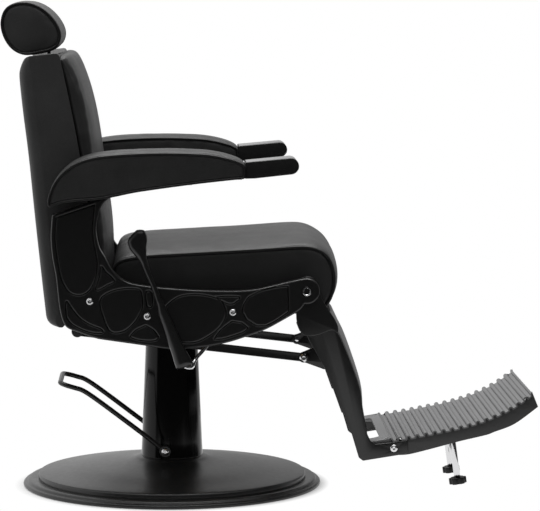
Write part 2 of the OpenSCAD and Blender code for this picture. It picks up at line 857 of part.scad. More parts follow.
// Side view of the grip about the lever's pivot
grip_side = [
    [-147, 230], [-160, 226], [-170, 209], [-171, 197], [-162, 178], [-139, 124], [-117, 45], [-96, -14],
    [-74, -57], [-60, -63], [-44, -55], [-37, -42], [-51, -16], [-76, 34], [-110, 111], [-130, 166], [-133, 190],
    [-133, 215], [-139, 228]
];

module lever_grip() {
    outline = [for (p = ring_curve(grip_side, 2)) p + lever_pivot];
    shares = [[-1, 6, 0], [-0.8, 1.5, 0], [0, 0, 0], [0.8, 1.5, 0], [1, 6, 0]];
    color(black) difference() {
        translate([0, -lever_out, 0]) padded(outline, grip_t / 2, shares, 0, 0);
        tube_along(lever_path(), lever_r - 0.3);
    }
}

// From the shaft's end down, out below the panel and up into the grip
function lever_path() = let (p = lever_pivot) line_curve([
    [p[0], -shaft_end, p[1]], [p[0] - 2, -shaft_end - 5, p[1] - 3], [p[0] - 10, 3 - panel_in, p[1] - 17],
    [p[0] - 20, -panel_face, p[1] - 27], [p[0] - 29, -panel_out, p[1] - 35], [p[0] - 36, -lever_out + 4, p[1] - 43],
    [p[0] - 41, -lever_out, p[1] - 55], [p[0] - 56, -lever_out, p[1] - 53], [p[0] - 68, -lever_out, p[1] - 39],
    [p[0] - 80, -lever_out, p[1] - 17]
], 3);

module lever_rod() {
    color(chrome) tube_along(lever_path(), lever_r - 0.5);
}

// ---- back ----

casing_rear = [
    [-288, 544], [-304, 539], [-314, 526], [-317, 506], [-309, 425], [-298, 333], [-282, 165], [-266, 17],
    [-263, -6], [-253, -17], [-239, -22], [-224, -18], [-214, 20], [-196, 32], [-160, 40]
];
casing_seam = [[-153, 50], [-157, 110], [-170, 210], [-191, 343], [-205, 420], [-219, 489], [-233, 553]];
casing_top = [[-245, 546], [-264, 544]];
cushion_front = [
    [-222, 554], [-211, 535], [-192, 481], [-177, 416], [-165, 335], [-147, 198], [-143, 120], [-142, 70],
    [-145, 56]
];

function lifted(p) = [p[0], p[1] + deck_h];

module back_casing() {
    outline = [for (p = concat(line_curve(casing_rear, 3), line_curve(casing_seam, 3), casing_top)) lifted(p)];
    ring = function(y, inset) at_y([for (i = [0:len(outline) - 1])
        let (n = outward(outline, i)) outline[i] - n * inset * max(0, -n[0])], y);
    turns = [for (a = [0:22.5:90]) [back_half - back_round * (1 - sin(a)), back_round * (1 - cos(a))]];
    near = [for (t = back_to_front(turns)) ring(-t[0], t[1])];
    far = [for (t = turns) ring(t[0], t[1])];
    color(soft_black) difference() {
        loft(concat(near, far));
        sleeve_room(seat_gap);
    }
}

module back_cushion() {
    seam = [for (p = casing_seam) p + [seat_gap, 0]];
    outline = [for (p = concat(back_to_front(line_curve(cushion_front, 3)), back_to_front(line_curve(seam, 3)))) lifted(p)];
    shares = [
        [-1, 4, 0], [-0.99, 1, 0], [-0.96, 0, 0.18], [-0.86, 0, 0.5], [-0.7, 0, 0.75], [-0.4, 0, 0.94], [0, 0, 1],
        [0.4, 0, 0.94], [0.7, 0, 0.75], [0.86, 0, 0.5], [0.96, 0, 0.18], [0.99, 1, 0], [1, 4, 0]
    ];
    color(soft_black) padded(outline, back_half - 2, shares, 0, back_crown);
}

crank_tube = back_pivot + [-22, -35];
link_y = link_span / 2;
crank_r = 86;
crank_angle = -21;
link_rear = back_pivot + crank_r * [sin(crank_angle), -cos(crank_angle)];
crank_y = link_y + link_t / 2 + 0.5;

module back_frame() {
    tube_r = back_tube_d / 2;
    side_y = back_half + seat_gap;
    color(steel) difference() {
        union() {
            bar_y(crank_tube, tube_r, -side_y - bracket_t, side_y + bracket_t);
            both_sides() slab(side_y, side_y + bracket_t) {
                strap(back_pivot, crank_tube, 18, tube_r + 4);
                strap(back_pivot, back_pivot + [-20, 130], 18, 12);
            }
            both_sides() slab(crank_y, crank_y + bracket_t) strap(crank_tube, link_rear, tube_r + 4, 11);
            slab(lock_plate_y, lock_plate_y + bracket_t) strap(crank_tube, lock_pin, tube_r + 3, lock_eye_r);
            bar_y(lock_pin, lock_pin_r, lock_y - 6, lock_plate_y + 1);
            both_sides() bar_y(link_rear, link_bolt_d / 2, link_y - link_t / 2 - 4, crank_y + 1);
            both_sides() bar_y(link_rear, link_bolt_d / 2 + 4, link_y - link_t / 2 - 8, link_y - link_t / 2 - 1);
        }
        both_sides() bar_y(back_pivot, pivot_bolt_r + fit_gap, side_y - 1, side_y + bracket_t + 1);
    }
}

// ---- headrest ----

post_tilt = 8;
post_foot = [-262, deck_h + 550];
head_lift = 606;
head_at = [-294.5, deck_h + head_lift];
sleeve_l = 170;
sleeve_wall = 3;

// Local frame of the post: its Z runs up along the back
module on_post() { translate([post_foot[0], 0, post_foot[1]]) rotate([0, -post_tilt, 0]) children(); }

module sleeve_room(g) {
    t = post_t + 2 * sleeve_wall + 2 * g;
    w = post_w + 2 * sleeve_wall + 2 * g;
    on_post() {
        translate([-t / 2, -w / 2, -sleeve_l - g - 8]) cube([t, w, sleeve_l + 60]);
        translate([-t / 2 - 4, -w / 2 - 4, -8 - g]) cube([t + 8, w + 8, 60]);
    }
}

module post_sleeve() {
    t = post_t + 2 * sleeve_wall;
    w = post_w + 2 * sleeve_wall;
    color(black) on_post() difference() {
        union() {
            translate([-t / 2, -w / 2, -sleeve_l - 8]) cube([t, w, sleeve_l]);
            translate([-t / 2 - 4, -w / 2 - 4, -8]) cube([t + 8, w + 8, 3]);
        }
        translate([-post_t / 2 - 0.1, -post_w / 2 - 0.1, -sleeve_l - 20]) cube([post_t + 0.2, post_w + 0.2, sleeve_l + 40]);
    }
}

hinge_r = 6;

module headrest_post() {
    reach = head_at - post_foot;
    bend = turned([reach[0], reach[1]], -post_tilt);
    color(chrome) on_post() union() {
        translate([-post_t / 2, -post_w / 2, 4 - sleeve_l]) cube([post_t, post_w, sleeve_l]);
        difference() {
            translate([0, post_w / 2 - 5, 0]) rotate([90, 0, 0]) linear_extrude(post_w - 10) hull() {
                translate([0, 4]) circle(post_t / 2, $fn = 24);
                translate(bend) circle(hinge_r + 5, $fn = 32);
            }
            translate([bend[0], post_w, bend[1]]) rotate([90, 0, 0]) cylinder(r = hinge_r, h = 2 * post_w);
        }
        translate([bend[0], post_w, bend[1]]) rotate([90, 0, 0]) cylinder(r = hinge_r, h = 2 * post_w);
    }
}

core_r = 20;

module headrest_core() {
    inner = post_w / 2 - 4;
    color(steel) both_sides() difference() {
        bar_y(head_at, core_r, inner, post_w + 2);
        bar_y(head_at, hinge_r + fit_gap, inner - 1, post_w + 0.1);
    }
}

head_swing = 22;
pocket_depth = 90;

// Side view of the roll at its piping about the hinge, in shares of its half depth and half height
head_side = [
    [-1, 0.03], [-0.97, 0.38], [-0.86, 0.68], [-0.62, 0.87], [-0.2, 0.94], [0.22, 0.81], [0.58, 0.52], [0.87, 0.1],
    [1, -0.32], [0.9, -0.7], [0.66, -0.88], [0.28, -0.97], [-0.18, -1.06], [-0.58, -0.88], [-0.86, -0.48]
];

module head_pocket() {
    lean = atan2(head_at[0] - post_foot[0], head_at[1] - post_foot[1]);
    slab(-post_w - 2 - seat_gap, post_w + 2 + seat_gap) union() {
        translate(head_at) circle(core_r + seat_gap);
        translate(head_at) rotate(-lean) polygon([
            [-12, 0], [-12 - pocket_depth * tan(head_swing), -pocket_depth],
            [12 + pocket_depth * tan(head_swing), -pocket_depth], [12, 0]
        ]);
    }
}

module headrest_pad() {
    half = head_w / 2;
    stations = [
        [-1, 0.86], [-0.985, 0.96], [-0.95, 1], [-0.7, 1.02], [-0.35, 1.03], [0, 1.035], [0.35, 1.03], [0.7, 1.02],
        [0.95, 1], [0.985, 0.96], [1, 0.86]
    ];
    side = back_to_front(ring_curve(head_side, 3));
    color(soft_black) difference() {
        loft([for (s = stations) at_y([for (q = side)
            head_at + s[1] / 2 * [q[0] * head_d, q[1] * head_h]], half * s[0])]);
        head_pocket();
    }
}

// ---- legrest ----

leg_half = leg_w / 2;
link_front = leg_pivot + [0, -157];
cheek_side = [
    [24, 12], [10, 27], [-12, 24], [-26, 6], [-24, -30], [-21, -50], [-20, -65], [-14, -86], [2, -98], [28, -94],
    [54, -85], [66, -92], [67, -78], [59, -60], [47, -42], [33, -18]
];
leg_rear = [[4, -82], [6, -108], [26, -145], [47, -184], [64, -228], [80, -273]];
leg_foot = [
    [85, -274], [97, -314], [101, -316], [117, -370], [126, -377], [222, -362], [222, -333], [184, -338], [153, -341],
    [142, -334], [135, -319]
];
leg_front = [[134, -305], [129, -284], [123, -261], [121, -232], [112, -200], [100, -168], [88, -138], [76, -110], [60, -82]];

function on_leg(p) = [for (q = p) q + leg_pivot];

module leg_shape() {
    polygon(on_leg(concat(line_curve(leg_rear, 3), leg_foot, line_curve(leg_front, 3))));
}

module leg_frame() {
    color(black) difference() {
        union() {
            slab(cheek_y, cheek_out) polygon(ring_curve(on_leg(cheek_side), 3));
            slab(leg_half - leg_t, leg_half) leg_shape();
            slab(leg_half - leg_t, cheek_out) intersection() {
                polygon(ring_curve(on_leg(cheek_side), 3));
                translate(leg_pivot + [-30, -100]) square([110, 22]);
                difference() {
                    polygon(ring_curve(on_leg(cheek_side), 3));
                    translate([0, 7]) polygon(ring_curve(on_leg(cheek_side), 3));
                }
            }
        }
        bar_y(leg_pivot, pivot_bolt_r + fit_gap, cheek_y - 1, cheek_out + 1);
        bar_y(leg_pivot + foot_bolt, 4, 0, leg_half + 1);
    }
}

foot_bolt = [192, -350];
cross_places = [[40, -118], [108, -262]];
cross_r = 9;
gusset_t = 5;
gusset_y = link_y - link_t / 2 - 0.5;

// The gusset from the link's front bolt to the first cross tube, about the legrest's pivot
gusset_side = [
    [-7, -165], [45, -184], [54, -170], [52, -120], [46, -108], [34, -108], [28, -118], [20, -137], [-2, -146]
];

module leg_cross_tubes() {
    inner = leg_half - leg_t;
    color(steel) difference() {
        union() {
            for (c = cross_places) bar_y(leg_pivot + c, cross_r, -inner, inner);
            both_sides() {
                slab(gusset_y - gusset_t, gusset_y) union() {
                    translate(link_front) circle(link_h / 2 + 2);
                    polygon(on_leg(gusset_side));
                }
                slab(gusset_y - gusset_t, inner) strap(leg_pivot + [34, -146], leg_pivot + [47, -166], 3, 3);
            }
        }
        both_sides() bar_y(link_front, link_bolt_d / 2, 0, gusset_y + 1);
    }
}

// Front line of the calf panel at the leg plates
calf_line = [
    [52, -62], [66, -92], [76, -110], [88, -138], [100, -168], [112, -200], [121, -232], [124, -262], [129, -284]
];

module calf_panel() {
    skin = 4;
    reach = leg_half - leg_t;
    front = line_curve(on_leg(calf_line), 2);
    n = len(front);
    outline = concat(front, back_to_front([for (p = front) p - [skin, 0]]));
    shares = [[-1, 0], [-0.94, 0.22], [-0.8, 0.5], [-0.5, 0.82], [0, 1], [0.5, 0.82], [0.8, 0.5], [0.94, 0.22], [1, 0]];
    rings = [for (s = shares) at_y([for (i = [0:len(outline) - 1])
        let (k = i < n ? i : 2 * n - 1 - i, fade = 1 - 0.75 * pow(k / (n - 1), 2))
        outline[i] + [calf_bulge * s[1] * fade, -2 * s[1]]], reach * s[0])];
    color(black) loft([for (r = rings) back_to_front(r)]);
}

// ---- footplate ----

tread_line = [[186, -333], [239, -325], [292, -315], [345, -304], [396, -288], [445, -265], [489, -235]];
rail_low = [[202, -365], [227, -363], [276, -351], [333, -336], [389, -323], [408, -316], [451, -299], [500, -263]];
rail_t = 6;

// Upper (side 1) or under (side -1) line of the ribbed tread, grown by gap, with narrow ribs
function tread_skin(side, gap) = let (line = line_curve(on_leg(tread_line), 24), n = len(line) - 1)
    [for (i = [0:n]) let (rib = pow((1 + cos(360 * rib_count * i / n)) / 2, 2))
        line[i] + (tread_rib * (rib - 0.5) + side * (tread_t / 2 + gap)) * across(line, i)];

// The rails' upper edge follows the ribs from below
module rail_shape() {
    polygon(concat(on_leg(line_curve(rail_low, 3)), back_to_front(tread_skin(-1, 0.1))));
}

rail_out = leg_half - leg_t;

module foot_rails() {
    color(black) difference() {
        union() {
            both_sides() slab(rail_out - rail_t, rail_out) rail_shape();
            for (x = crossbar_x) {
                at = leg_pivot + under_tread(x);
                translate([at[0] - 14, -rail_out + rail_t, at[1] - 6]) cube([28, 2 * (rail_out - rail_t), 6]);
            }
        }
        both_sides() bar_y(leg_pivot + foot_bolt, 4, 0, leg_half + 1);
        prop_places() translate([0, 0, -40]) cylinder(d = prop_d, h = 40);
    }
}

crossbar_x = [250, 324];

// Top of a crossbar, below the tread at the distance x ahead of the pivot
function under_tread(x) = [x, lookup(x, line_curve(tread_line, 4)) - tread_rib / 2 - tread_t - 7];

module foot_tread() {
    over = tread_skin(1, 0);
    under = tread_skin(-1, 0);
    heel = leg_pivot + [140, -337];
    tab_w = 52;
    cut_x = [heel[0] - 40, leg_pivot[0] + 165];
    cut_y = leg_half - tab_w;
    color([0.55, 0.55, 0.56]) difference() {
        union() {
            slab(-leg_half + 1, leg_half - 1) polygon(concat(under, back_to_front(over)));
            slab(-leg_half + leg_t + 1, leg_half - leg_t - 1)
                polygon([heel, heel + [0, -tread_t], under[0] + [2, 0], over[0] + [2, 0]]);
        }
        translate([0, 0, heel[1] - 20]) linear_extrude(60) offset(r = 14, $fn = 24) offset(delta = -14)
            translate([cut_x[0], -cut_y]) square([cut_x[1] - cut_x[0], 2 * cut_y]);
    }
}

module foot_bolts() {
    color(chrome) both_sides() {
        button_head(leg_pivot + foot_bolt, 8, leg_half, 4);
        bar_y(leg_pivot + foot_bolt, 4, rail_out - rail_t, leg_half);
    }
}

prop_lean = 8;
prop_top = leg_pivot + under_tread(crossbar_x[1]);
prop_foot_h = 14;
prop_l = (prop_top[1] - prop_gap) / cos(prop_lean) - prop_foot_h - 2;

module prop_places() {
    for (s = [-1, 1]) translate([prop_top[0], s * prop_span / 2, prop_top[1]]) rotate([0, -prop_lean, 0]) children();
}

module prop_tubes() {
    color(chrome) prop_places() difference() {
        translate([0, 0, -prop_l]) cylinder(d = prop_d, h = prop_l);
        translate([0, 0, -prop_l - 1]) cylinder(r = stem_r + fit_gap, h = 50);
    }
}

stem_r = 4;
foot_floor = 2.5;

module support_foot() {
    color(black) translate([prop_top[0], prop_span / 2, prop_top[1]]) rotate([0, -prop_lean, 0])
        translate([0, 0, -prop_l - prop_foot_h]) {
            difference() {
                cylinder(d = prop_foot_d, h = prop_foot_h - 1);
                translate([0, 0, foot_floor]) cylinder(r = prop_d / 2 + 0.6, h = prop_foot_h);
                for (a = [30:60:330]) rotate([0, 0, a]) translate([prop_foot_d * 0.6, 0, -1])
                    cylinder(d = prop_foot_d * 0.34, h = prop_foot_h + 2, $fn = 24);
            }
            translate([0, 0, foot_floor - 1]) cylinder(r = stem_r, h = prop_foot_h + 36);
        }
}

// ---- link bars ----

module link_bars() {
    eye = link_bolt_d / 2 + link_play;
    color(black) both_sides() difference() {
        slab(link_y - link_t / 2, link_y + link_t / 2) {
            strap(link_front, link_rear, link_h / 2, link_h / 2);
            translate(link_rear) circle(eye + 4.5);
            translate(link_front) circle(link_h / 2 + 2);
        }
        bar_y(link_rear, eye, link_y - link_t, link_y + link_t);
        bar_y(link_front, link_bolt_d / 2 + fit_gap, link_y - link_t, link_y + link_t);
    }
}

module link_bolts() {
    color(chrome) both_sides() {
        bar_y(link_front, link_bolt_d / 2, gusset_y - gusset_t, link_y + link_t / 2 + 0.5);
        button_head(link_front, link_bolt_d / 2 + 4, link_y + link_t / 2 + 0.5, 5);
    }
}

// ---- drawing ----

floor_ring();
base_plate();
base_cover();
column_cover();
pump_housing();
pump_bolts();
guide_bush();
ram_seal();
pump_pedal();
pedal_shaft();
pedal_bolts();
ram_tube();
ram_piston();
swivel_socket();
socket_bolts();
seat_frame();
seat_board();
seat_cushion();
right_side() side_panel();  // side_panel_right
side_panel();  // side_panel_left
right_side() panel_inserts();  // panel_inserts_right
panel_inserts();  // panel_inserts_left
panel_screws();
right_side() arm_bar();  // arm_bar_right
arm_bar();  // arm_bar_left
arm_tip_plates();
right_side() arm_pad();  // arm_pad_right
arm_pad();  // arm_pad_left
arm_screws();
back_pivot_bolts();
leg_pivot_bolts();
lock_cylinder();
lever_bearings();
lever_shaft();
lever_rod();
lever_grip();
back_frame();
back_casing();
back_cushion();
post_sleeve();
lock_rod();
headrest_post();
headrest_core();
headrest_pad();
right_side() leg_frame();  // leg_frame_right
leg_frame();  // leg_frame_left
leg_cross_tubes();
calf_panel();
foot_rails();
foot_tread();
foot_bolts();
prop_tubes();
link_bars();
link_bolts();
right_side() support_foot();  // support_foot_right
support_foot();  // support_foot_left
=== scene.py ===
import json
import math

import bmesh
import bpy
from mathutils import Matrix, Vector, geometry, noise
from mathutils.kdtree import KDTree


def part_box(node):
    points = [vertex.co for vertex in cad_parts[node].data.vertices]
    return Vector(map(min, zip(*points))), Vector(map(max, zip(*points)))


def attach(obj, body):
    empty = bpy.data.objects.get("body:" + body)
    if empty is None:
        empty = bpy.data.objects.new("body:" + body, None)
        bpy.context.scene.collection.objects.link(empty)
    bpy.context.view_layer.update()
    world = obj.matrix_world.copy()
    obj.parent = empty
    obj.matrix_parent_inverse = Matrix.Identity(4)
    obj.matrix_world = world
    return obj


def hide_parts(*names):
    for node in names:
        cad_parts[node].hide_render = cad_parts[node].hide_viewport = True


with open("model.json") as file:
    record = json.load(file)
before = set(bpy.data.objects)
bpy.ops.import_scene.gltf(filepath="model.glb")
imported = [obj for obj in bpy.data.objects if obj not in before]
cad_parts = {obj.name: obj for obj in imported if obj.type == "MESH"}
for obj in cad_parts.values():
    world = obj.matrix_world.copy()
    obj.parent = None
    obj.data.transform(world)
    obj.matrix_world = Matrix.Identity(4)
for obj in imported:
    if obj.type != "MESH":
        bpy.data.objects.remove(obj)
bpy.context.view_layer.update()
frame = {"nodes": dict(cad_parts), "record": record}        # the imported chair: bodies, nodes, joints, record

nodes = frame["nodes"]
record = frame["record"]
bodyOf = {n: body for body, members in record["behaviour"]["bodies"].items() for n in members}
slotOf = {part["node"]: part["material_slot"] for part in record["subparts"]}
mm = 0.001
radians = math.radians


def addNode(tree, kind, inputs=None, **settings):
    made = tree.nodes.new(kind)
    for key, value in settings.items():
        setattr(made, key, value)
    for key, value in (inputs or {}).items():
        if isinstance(value, bpy.types.NodeSocket):
            tree.links.new(value, made.inputs[key])
        else:
            made.inputs[key].default_value = value
    return made


def mathNode(tree, operation, first, second=0.5, clamp=False):
    made = addNode(tree, "ShaderNodeMath", {0: first, 1: second}, operation=operation, use_clamp=clamp)
    return made.outputs[0]


def product(tree, first, second, clamp=False):
    return mathNode(tree, "MULTIPLY", first, second, clamp)


def vectorNode(tree, operation, inputs, output=0):
    return addNode(tree, "ShaderNodeVectorMath", inputs, operation=operation).outputs[output]


def rampNode(tree, value, low, high, lowOut=0.0, highOut=1.0):
    made = addNode(tree, "ShaderNodeMapRange", {"Value": value, "From Min": low, "From Max": high,
                                                "To Min": lowOut, "To Max": highOut})
    return made.outputs[0]


def mixColour(tree, share, first, second):
    return addNode(tree, "ShaderNodeMix", {0: share, 6: first, 7: second}, data_type="RGBA").outputs[2]


def groupTree(name, kind, inputs, outputs):
    # inputs and outputs: label, kind of socket, and for an input its default
    tree = bpy.data.node_groups.new(name, kind)
    for way, sockets in (("INPUT", inputs), ("OUTPUT", outputs)):
        for label, socket, *default in sockets:
            made = tree.interface.new_socket(label, in_out=way, socket_type="NodeSocket" + socket)
            if default:
                made.default_value = default[0]
    return tree, tree.nodes.new("NodeGroupInput").outputs, tree.nodes.new("NodeGroupOutput").inputs


def shaderGroup(name, inputs, outputs):
    return groupTree(name, "ShaderNodeTree", inputs, outputs)


def objectPlace(tree):
    return tree.nodes.new("ShaderNodeTexCoord").outputs["Object"]


def noiseNode(tree, place, scale, detail=3.0, roughness=0.5):
    return addNode(tree, "ShaderNodeTexNoise", {"Vector": place, "Scale": scale, "Detail": detail,
                                                "Roughness": roughness}).outputs["Fac"]


# Pebbled hide: cells parted by fine furrows, over slow waves of the foam below
def makeLeatherGrain():
    tree, take, give = shaderGroup("leatherGrain", [("Cells", "Float", 620.0), ("Waves", "Float", 14.0)],
                                   [("Height", "Float"), ("Furrow", "Float"), ("Slow", "Float")])
    place = objectPlace(tree)
    shift = addNode(tree, "ShaderNodeTexNoise", {"Vector": place, "Scale": 240.0, "Detail": 2.0})
    bent = vectorNode(tree, "SCALE", {0: shift.outputs["Color"], "Scale": 0.0016})
    moved = vectorNode(tree, "ADD", {0: place, 1: bent})
    cells = addNode(tree, "ShaderNodeTexVoronoi", {"Vector": moved, "Scale": take["Cells"]},
                    feature="DISTANCE_TO_EDGE")
    furrow = rampNode(tree, cells.outputs["Distance"], 0.02, 0.22)
    fine = noiseNode(tree, moved, 1400.0, 2.0)
    slow = noiseNode(tree, place, take["Waves"], 2.0)
    height = mathNode(tree, "ADD", product(tree, furrow, 0.75), product(tree, fine, 0.25))
    tree.links.new(height, give["Height"])
    tree.links.new(mathNode(tree, "SUBTRACT", 1.0, furrow), give["Furrow"])
    tree.links.new(slow, give["Slow"])
    return tree


# Edge wear and painted highlight: brighter along the edges, where the rounded normal leaves the true one,
# broken up by noise
def makeEdgeWearAndHighlight():
    tree, take, give = shaderGroup("edgeWear", [("Width", "Float", 0.0012), ("Patches", "Float", 60.0)],
                                   [("Mask", "Float")])
    rounded = addNode(tree, "ShaderNodeBevel", {"Radius": take["Width"]}, samples=4).outputs[0]
    true = tree.nodes.new("ShaderNodeNewGeometry").outputs["Normal"]
    same = vectorNode(tree, "DOT_PRODUCT", {0: rounded, 1: true}, "Value")
    edge = rampNode(tree, same, 0.99, 0.86)
    patch = rampNode(tree, noiseNode(tree, objectPlace(tree), take["Patches"], 4.0), 0.3, 0.55)
    tree.links.new(product(tree, edge, patch, True), give["Mask"])
    return tree


# Light dust that settles on what faces up
def makeDust():
    tree, take, give = shaderGroup("settledDust", [("Amount", "Float", 0.1)], [("Mask", "Float")])
    normal = tree.nodes.new("ShaderNodeNewGeometry").outputs["Normal"]
    facing = addNode(tree, "ShaderNodeSeparateXYZ", {0: normal})
    up = rampNode(tree, facing.outputs["Z"], 0.55, 1.0)
    patch = rampNode(tree, noiseNode(tree, objectPlace(tree), 28.0, 5.0, 0.6), 0.3, 0.8)
    tree.links.new(product(tree, product(tree, up, patch), take["Amount"], True), give["Mask"])
    return tree


# Long fine streaks of a brushed or drawn face
def makeBrushing():
    tree, take, give = shaderGroup("brushing", [("Stretch", "Vector", (40.0, 1500.0, 1500.0))],
                                   [("Streaks", "Float")])
    place = vectorNode(tree, "MULTIPLY", {0: objectPlace(tree), 1: take["Stretch"]})
    tree.links.new(noiseNode(tree, place, 1.0, 4.0, 0.65), give["Streaks"])
    return tree


# Powder coat or moulded grain: fine bumps with a slow unevenness
def makeCastGrain():
    tree, take, give = shaderGroup("castGrain", [("Fine", "Float", 1800.0), ("Broad", "Float", 90.0)],
                                   [("Height", "Float"), ("Cloud", "Float")])
    place = objectPlace(tree)
    fine = noiseNode(tree, place, take["Fine"], 2.0)
    broad = noiseNode(tree, place, take["Broad"], 3.0)
    tree.links.new(mathNode(tree, "ADD", fine, product(tree, broad, 0.2)), give["Height"])
    tree.links.new(broad, give["Cloud"])
    return tree


effects = dict(leather=makeLeatherGrain(), wearAndHighlight=makeEdgeWearAndHighlight(), dust=makeDust(), brushing=makeBrushing(),
               cast=makeCastGrain())


def useGroup(tree, name, **values):
    return addNode(tree, "ShaderNodeGroup", values, node_tree=effects[name]).outputs


def newMaterial(name):
    material = bpy.data.materials.new(name)
    material.use_nodes = True
    tree = material.node_tree
    return material, tree, tree.nodes["Principled BSDF"]


def coat(tree, shader, base, rough, height, strength, distance):
    bump = addNode(tree, "ShaderNodeBump", {"Height": height, "Strength": strength, "Distance": distance})
    for label, value in (("Base Color", base), ("Roughness", rough), ("Normal", bump.outputs["Normal"])):
        tree.links.new(value, shader.inputs[label])


def colour(grey, tint=(1, 1, 1)):
    return tuple(grey * t for t in tint) + (1.0,)


def leatherMaterial(name, base, rough, gloss, grain):
    material, tree, shader = newMaterial(name)
    hide = useGroup(tree, "leather")
    dust = useGroup(tree, "dust", Amount=0.05)["Mask"]
    worn = mixColour(tree, rampNode(tree, hide["Slow"], 0.3, 0.7), colour(base), colour(base * 1.3))
    deep = mixColour(tree, product(tree, hide["Furrow"], 0.5), worn, colour(base * 0.45))
    dusty = mixColour(tree, dust, deep, colour(0.3, (1, 0.98, 0.95)))
    slowRough = rampNode(tree, hide["Slow"], 0.25, 0.75, rough - 0.05, rough + 0.06)
    furrowRough = mathNode(tree, "ADD", slowRough, product(tree, hide["Furrow"], 0.12))
    shader.inputs["Specular IOR Level"].default_value = gloss
    coat(tree, shader, dusty, furrowRough, hide["Height"], grain, 0.25 * mm)
    return material


def paintMaterial(name, base, rough, gloss=0.5, grain=0.2, wearAndHighlight=0.0, dust=0.04):
    material, tree, shader = newMaterial(name)
    cast = useGroup(tree, "cast")
    edge = useGroup(tree, "wearAndHighlight")["Mask"]
    film = useGroup(tree, "dust", Amount=dust)["Mask"]
    cloud = rampNode(tree, cast["Cloud"], 0.3, 0.7)
    cloudy = mixColour(tree, cloud, colour(base * 0.92), colour(base * 1.08))
    # edges made lighter: partly wear, partly painted highlight for the light that rounded rims catch
    rubbedAndLit = mixColour(tree, product(tree, edge, wearAndHighlight), cloudy, colour(base * 3 + 0.05))
    dusty = mixColour(tree, film, rubbedAndLit, colour(0.35, (1, 0.98, 0.95)))
    cloudRough = rampNode(tree, cast["Cloud"], 0.3, 0.7, rough * 0.95, rough * 1.06)
    shader.inputs["Specular IOR Level"].default_value = gloss
    coat(tree, shader, dusty, cloudRough, cast["Height"], grain, 0.12 * mm)
    return material


def metalMaterial(name, base, rough, stretch=(1500.0, 60.0, 1500.0), streak=0.25, tint=(1, 1, 1.01),
                  grain=0.08):
    material, tree, shader = newMaterial(name)
    lines = useGroup(tree, "brushing", Stretch=stretch)["Streaks"]
    film = useGroup(tree, "dust", Amount=0.05)["Mask"]
    share = rampNode(tree, lines, 0.3, 0.7)
    clean = mixColour(tree, share, colour(base * (1 - streak), tint), colour(base, tint))
    dusty = mixColour(tree, film, clean, colour(0.4))
    streakRough = rampNode(tree, lines, 0.25, 0.75, rough * 0.75, rough * 1.3)
    shader.inputs["Metallic"].default_value = 1.0
    coat(tree, shader, dusty, streakRough, lines, grain, 0.05 * mm)
    return material


def woodMaterial(name):
    material, tree, shader = newMaterial(name)
    place = vectorNode(tree, "MULTIPLY", {0: objectPlace(tree), 1: (9.0, 90.0, 400.0)})
    veins = noiseNode(tree, place, 1.0, 5.0, 0.6)
    grain = mixColour(tree, veins, (0.22, 0.13, 0.06, 1), (0.5, 0.36, 0.2, 1))
    coat(tree, shader, grain, rampNode(tree, veins, 0.2, 0.8, 0.5, 0.75), veins, 0.3, 0.2 * mm)
    return material


finish = dict(
    # the seat's hide is darker than the back's, head's and arms': painted shade on one black leather
    upholstery=leatherMaterial("satinHide", 0.015, 0.42, 0.38, 0.32),
    base_black=paintMaterial("baseCoat", 0.008, 0.34, grain=0.16, wearAndHighlight=0.15, dust=0.02),
    column_gloss=paintMaterial("columnLacquer", 0.002, 0.12, gloss=0.2, grain=0.02, dust=0.01),
    plain_steel=metalMaterial("groundSteel", 0.45, 0.32),
    pump_paint=paintMaterial("pumpEnamel", 0.03, 0.45, wearAndHighlight=0.3),
    zinc=metalMaterial("zincPlate", 0.5, 0.36, stretch=(300.0, 300.0, 300.0)),
    bronze=metalMaterial("bushBronze", 0.5, 0.34, tint=(1, 0.68, 0.32)),
    seal_rubber=paintMaterial("sealRubber", 0.012, 0.7, gloss=0.3),
    ram_chrome=metalMaterial("ramChrome", 0.62, 0.1, streak=0.06, grain=0.02),
    bright_chrome=metalMaterial("screwChrome", 0.74, 0.11, streak=0.08, grain=0.02),
    frame_paint=paintMaterial("frameCoat", 0.008, 0.34, grain=0.2, wearAndHighlight=0.25, dust=0.02),
    plywood=woodMaterial("seatPlywood"),
    panel_black=paintMaterial("panelPlastic", 0.007, 0.30, grain=0.16, wearAndHighlight=0.5, dust=0.02),
    insert_black=paintMaterial("insertPlastic", 0.010, 0.42, gloss=0.45, grain=0.35, dust=0.02),
    silver_plate=metalMaterial("brushedPlate", 0.33, 0.34, stretch=(30.0, 1200.0, 1200.0), streak=0.3),
    grip_black=paintMaterial("gripPlastic", 0.007, 0.30, grain=0.12, wearAndHighlight=0.2, dust=0.02),
    calf_grey=paintMaterial("calfPlastic", 0.03, 0.42, grain=0.3, wearAndHighlight=0.1),
    rail_grey=paintMaterial("railCoat", 0.022, 0.42, grain=0.3, wearAndHighlight=0.3),
    tread_metal=metalMaterial("treadAluminium", 0.22, 0.42, stretch=(1400.0, 30.0, 1400.0), streak=0.3),
    foot_rubber=paintMaterial("footRubber", 0.006, 0.45, gloss=0.35, grain=0.3),
)
# one black leather in lit and shaded copies: the lighter bases of the back, head, cushion and arms and the
# darker ones of the seat and piping are painted light and shade
litAndShadedHides = dict(
    back=leatherMaterial("backHide", 0.030, 0.44, 0.36, 0.32),
    cushion=leatherMaterial("backCushionHide", 0.021, 0.44, 0.36, 0.32),
    arm=leatherMaterial("armHide", 0.020, 0.46, 0.28, 0.30),
    head=leatherMaterial("headHide", 0.027, 0.44, 0.34, 0.32),
    # the piping's hide is darkest: painted shade along the seams
    piping=leatherMaterial("pipingHide", 0.007, 0.44, 0.36, 0.25),
)
print("materials ready:", len(finish) + len(litAndShadedHides))


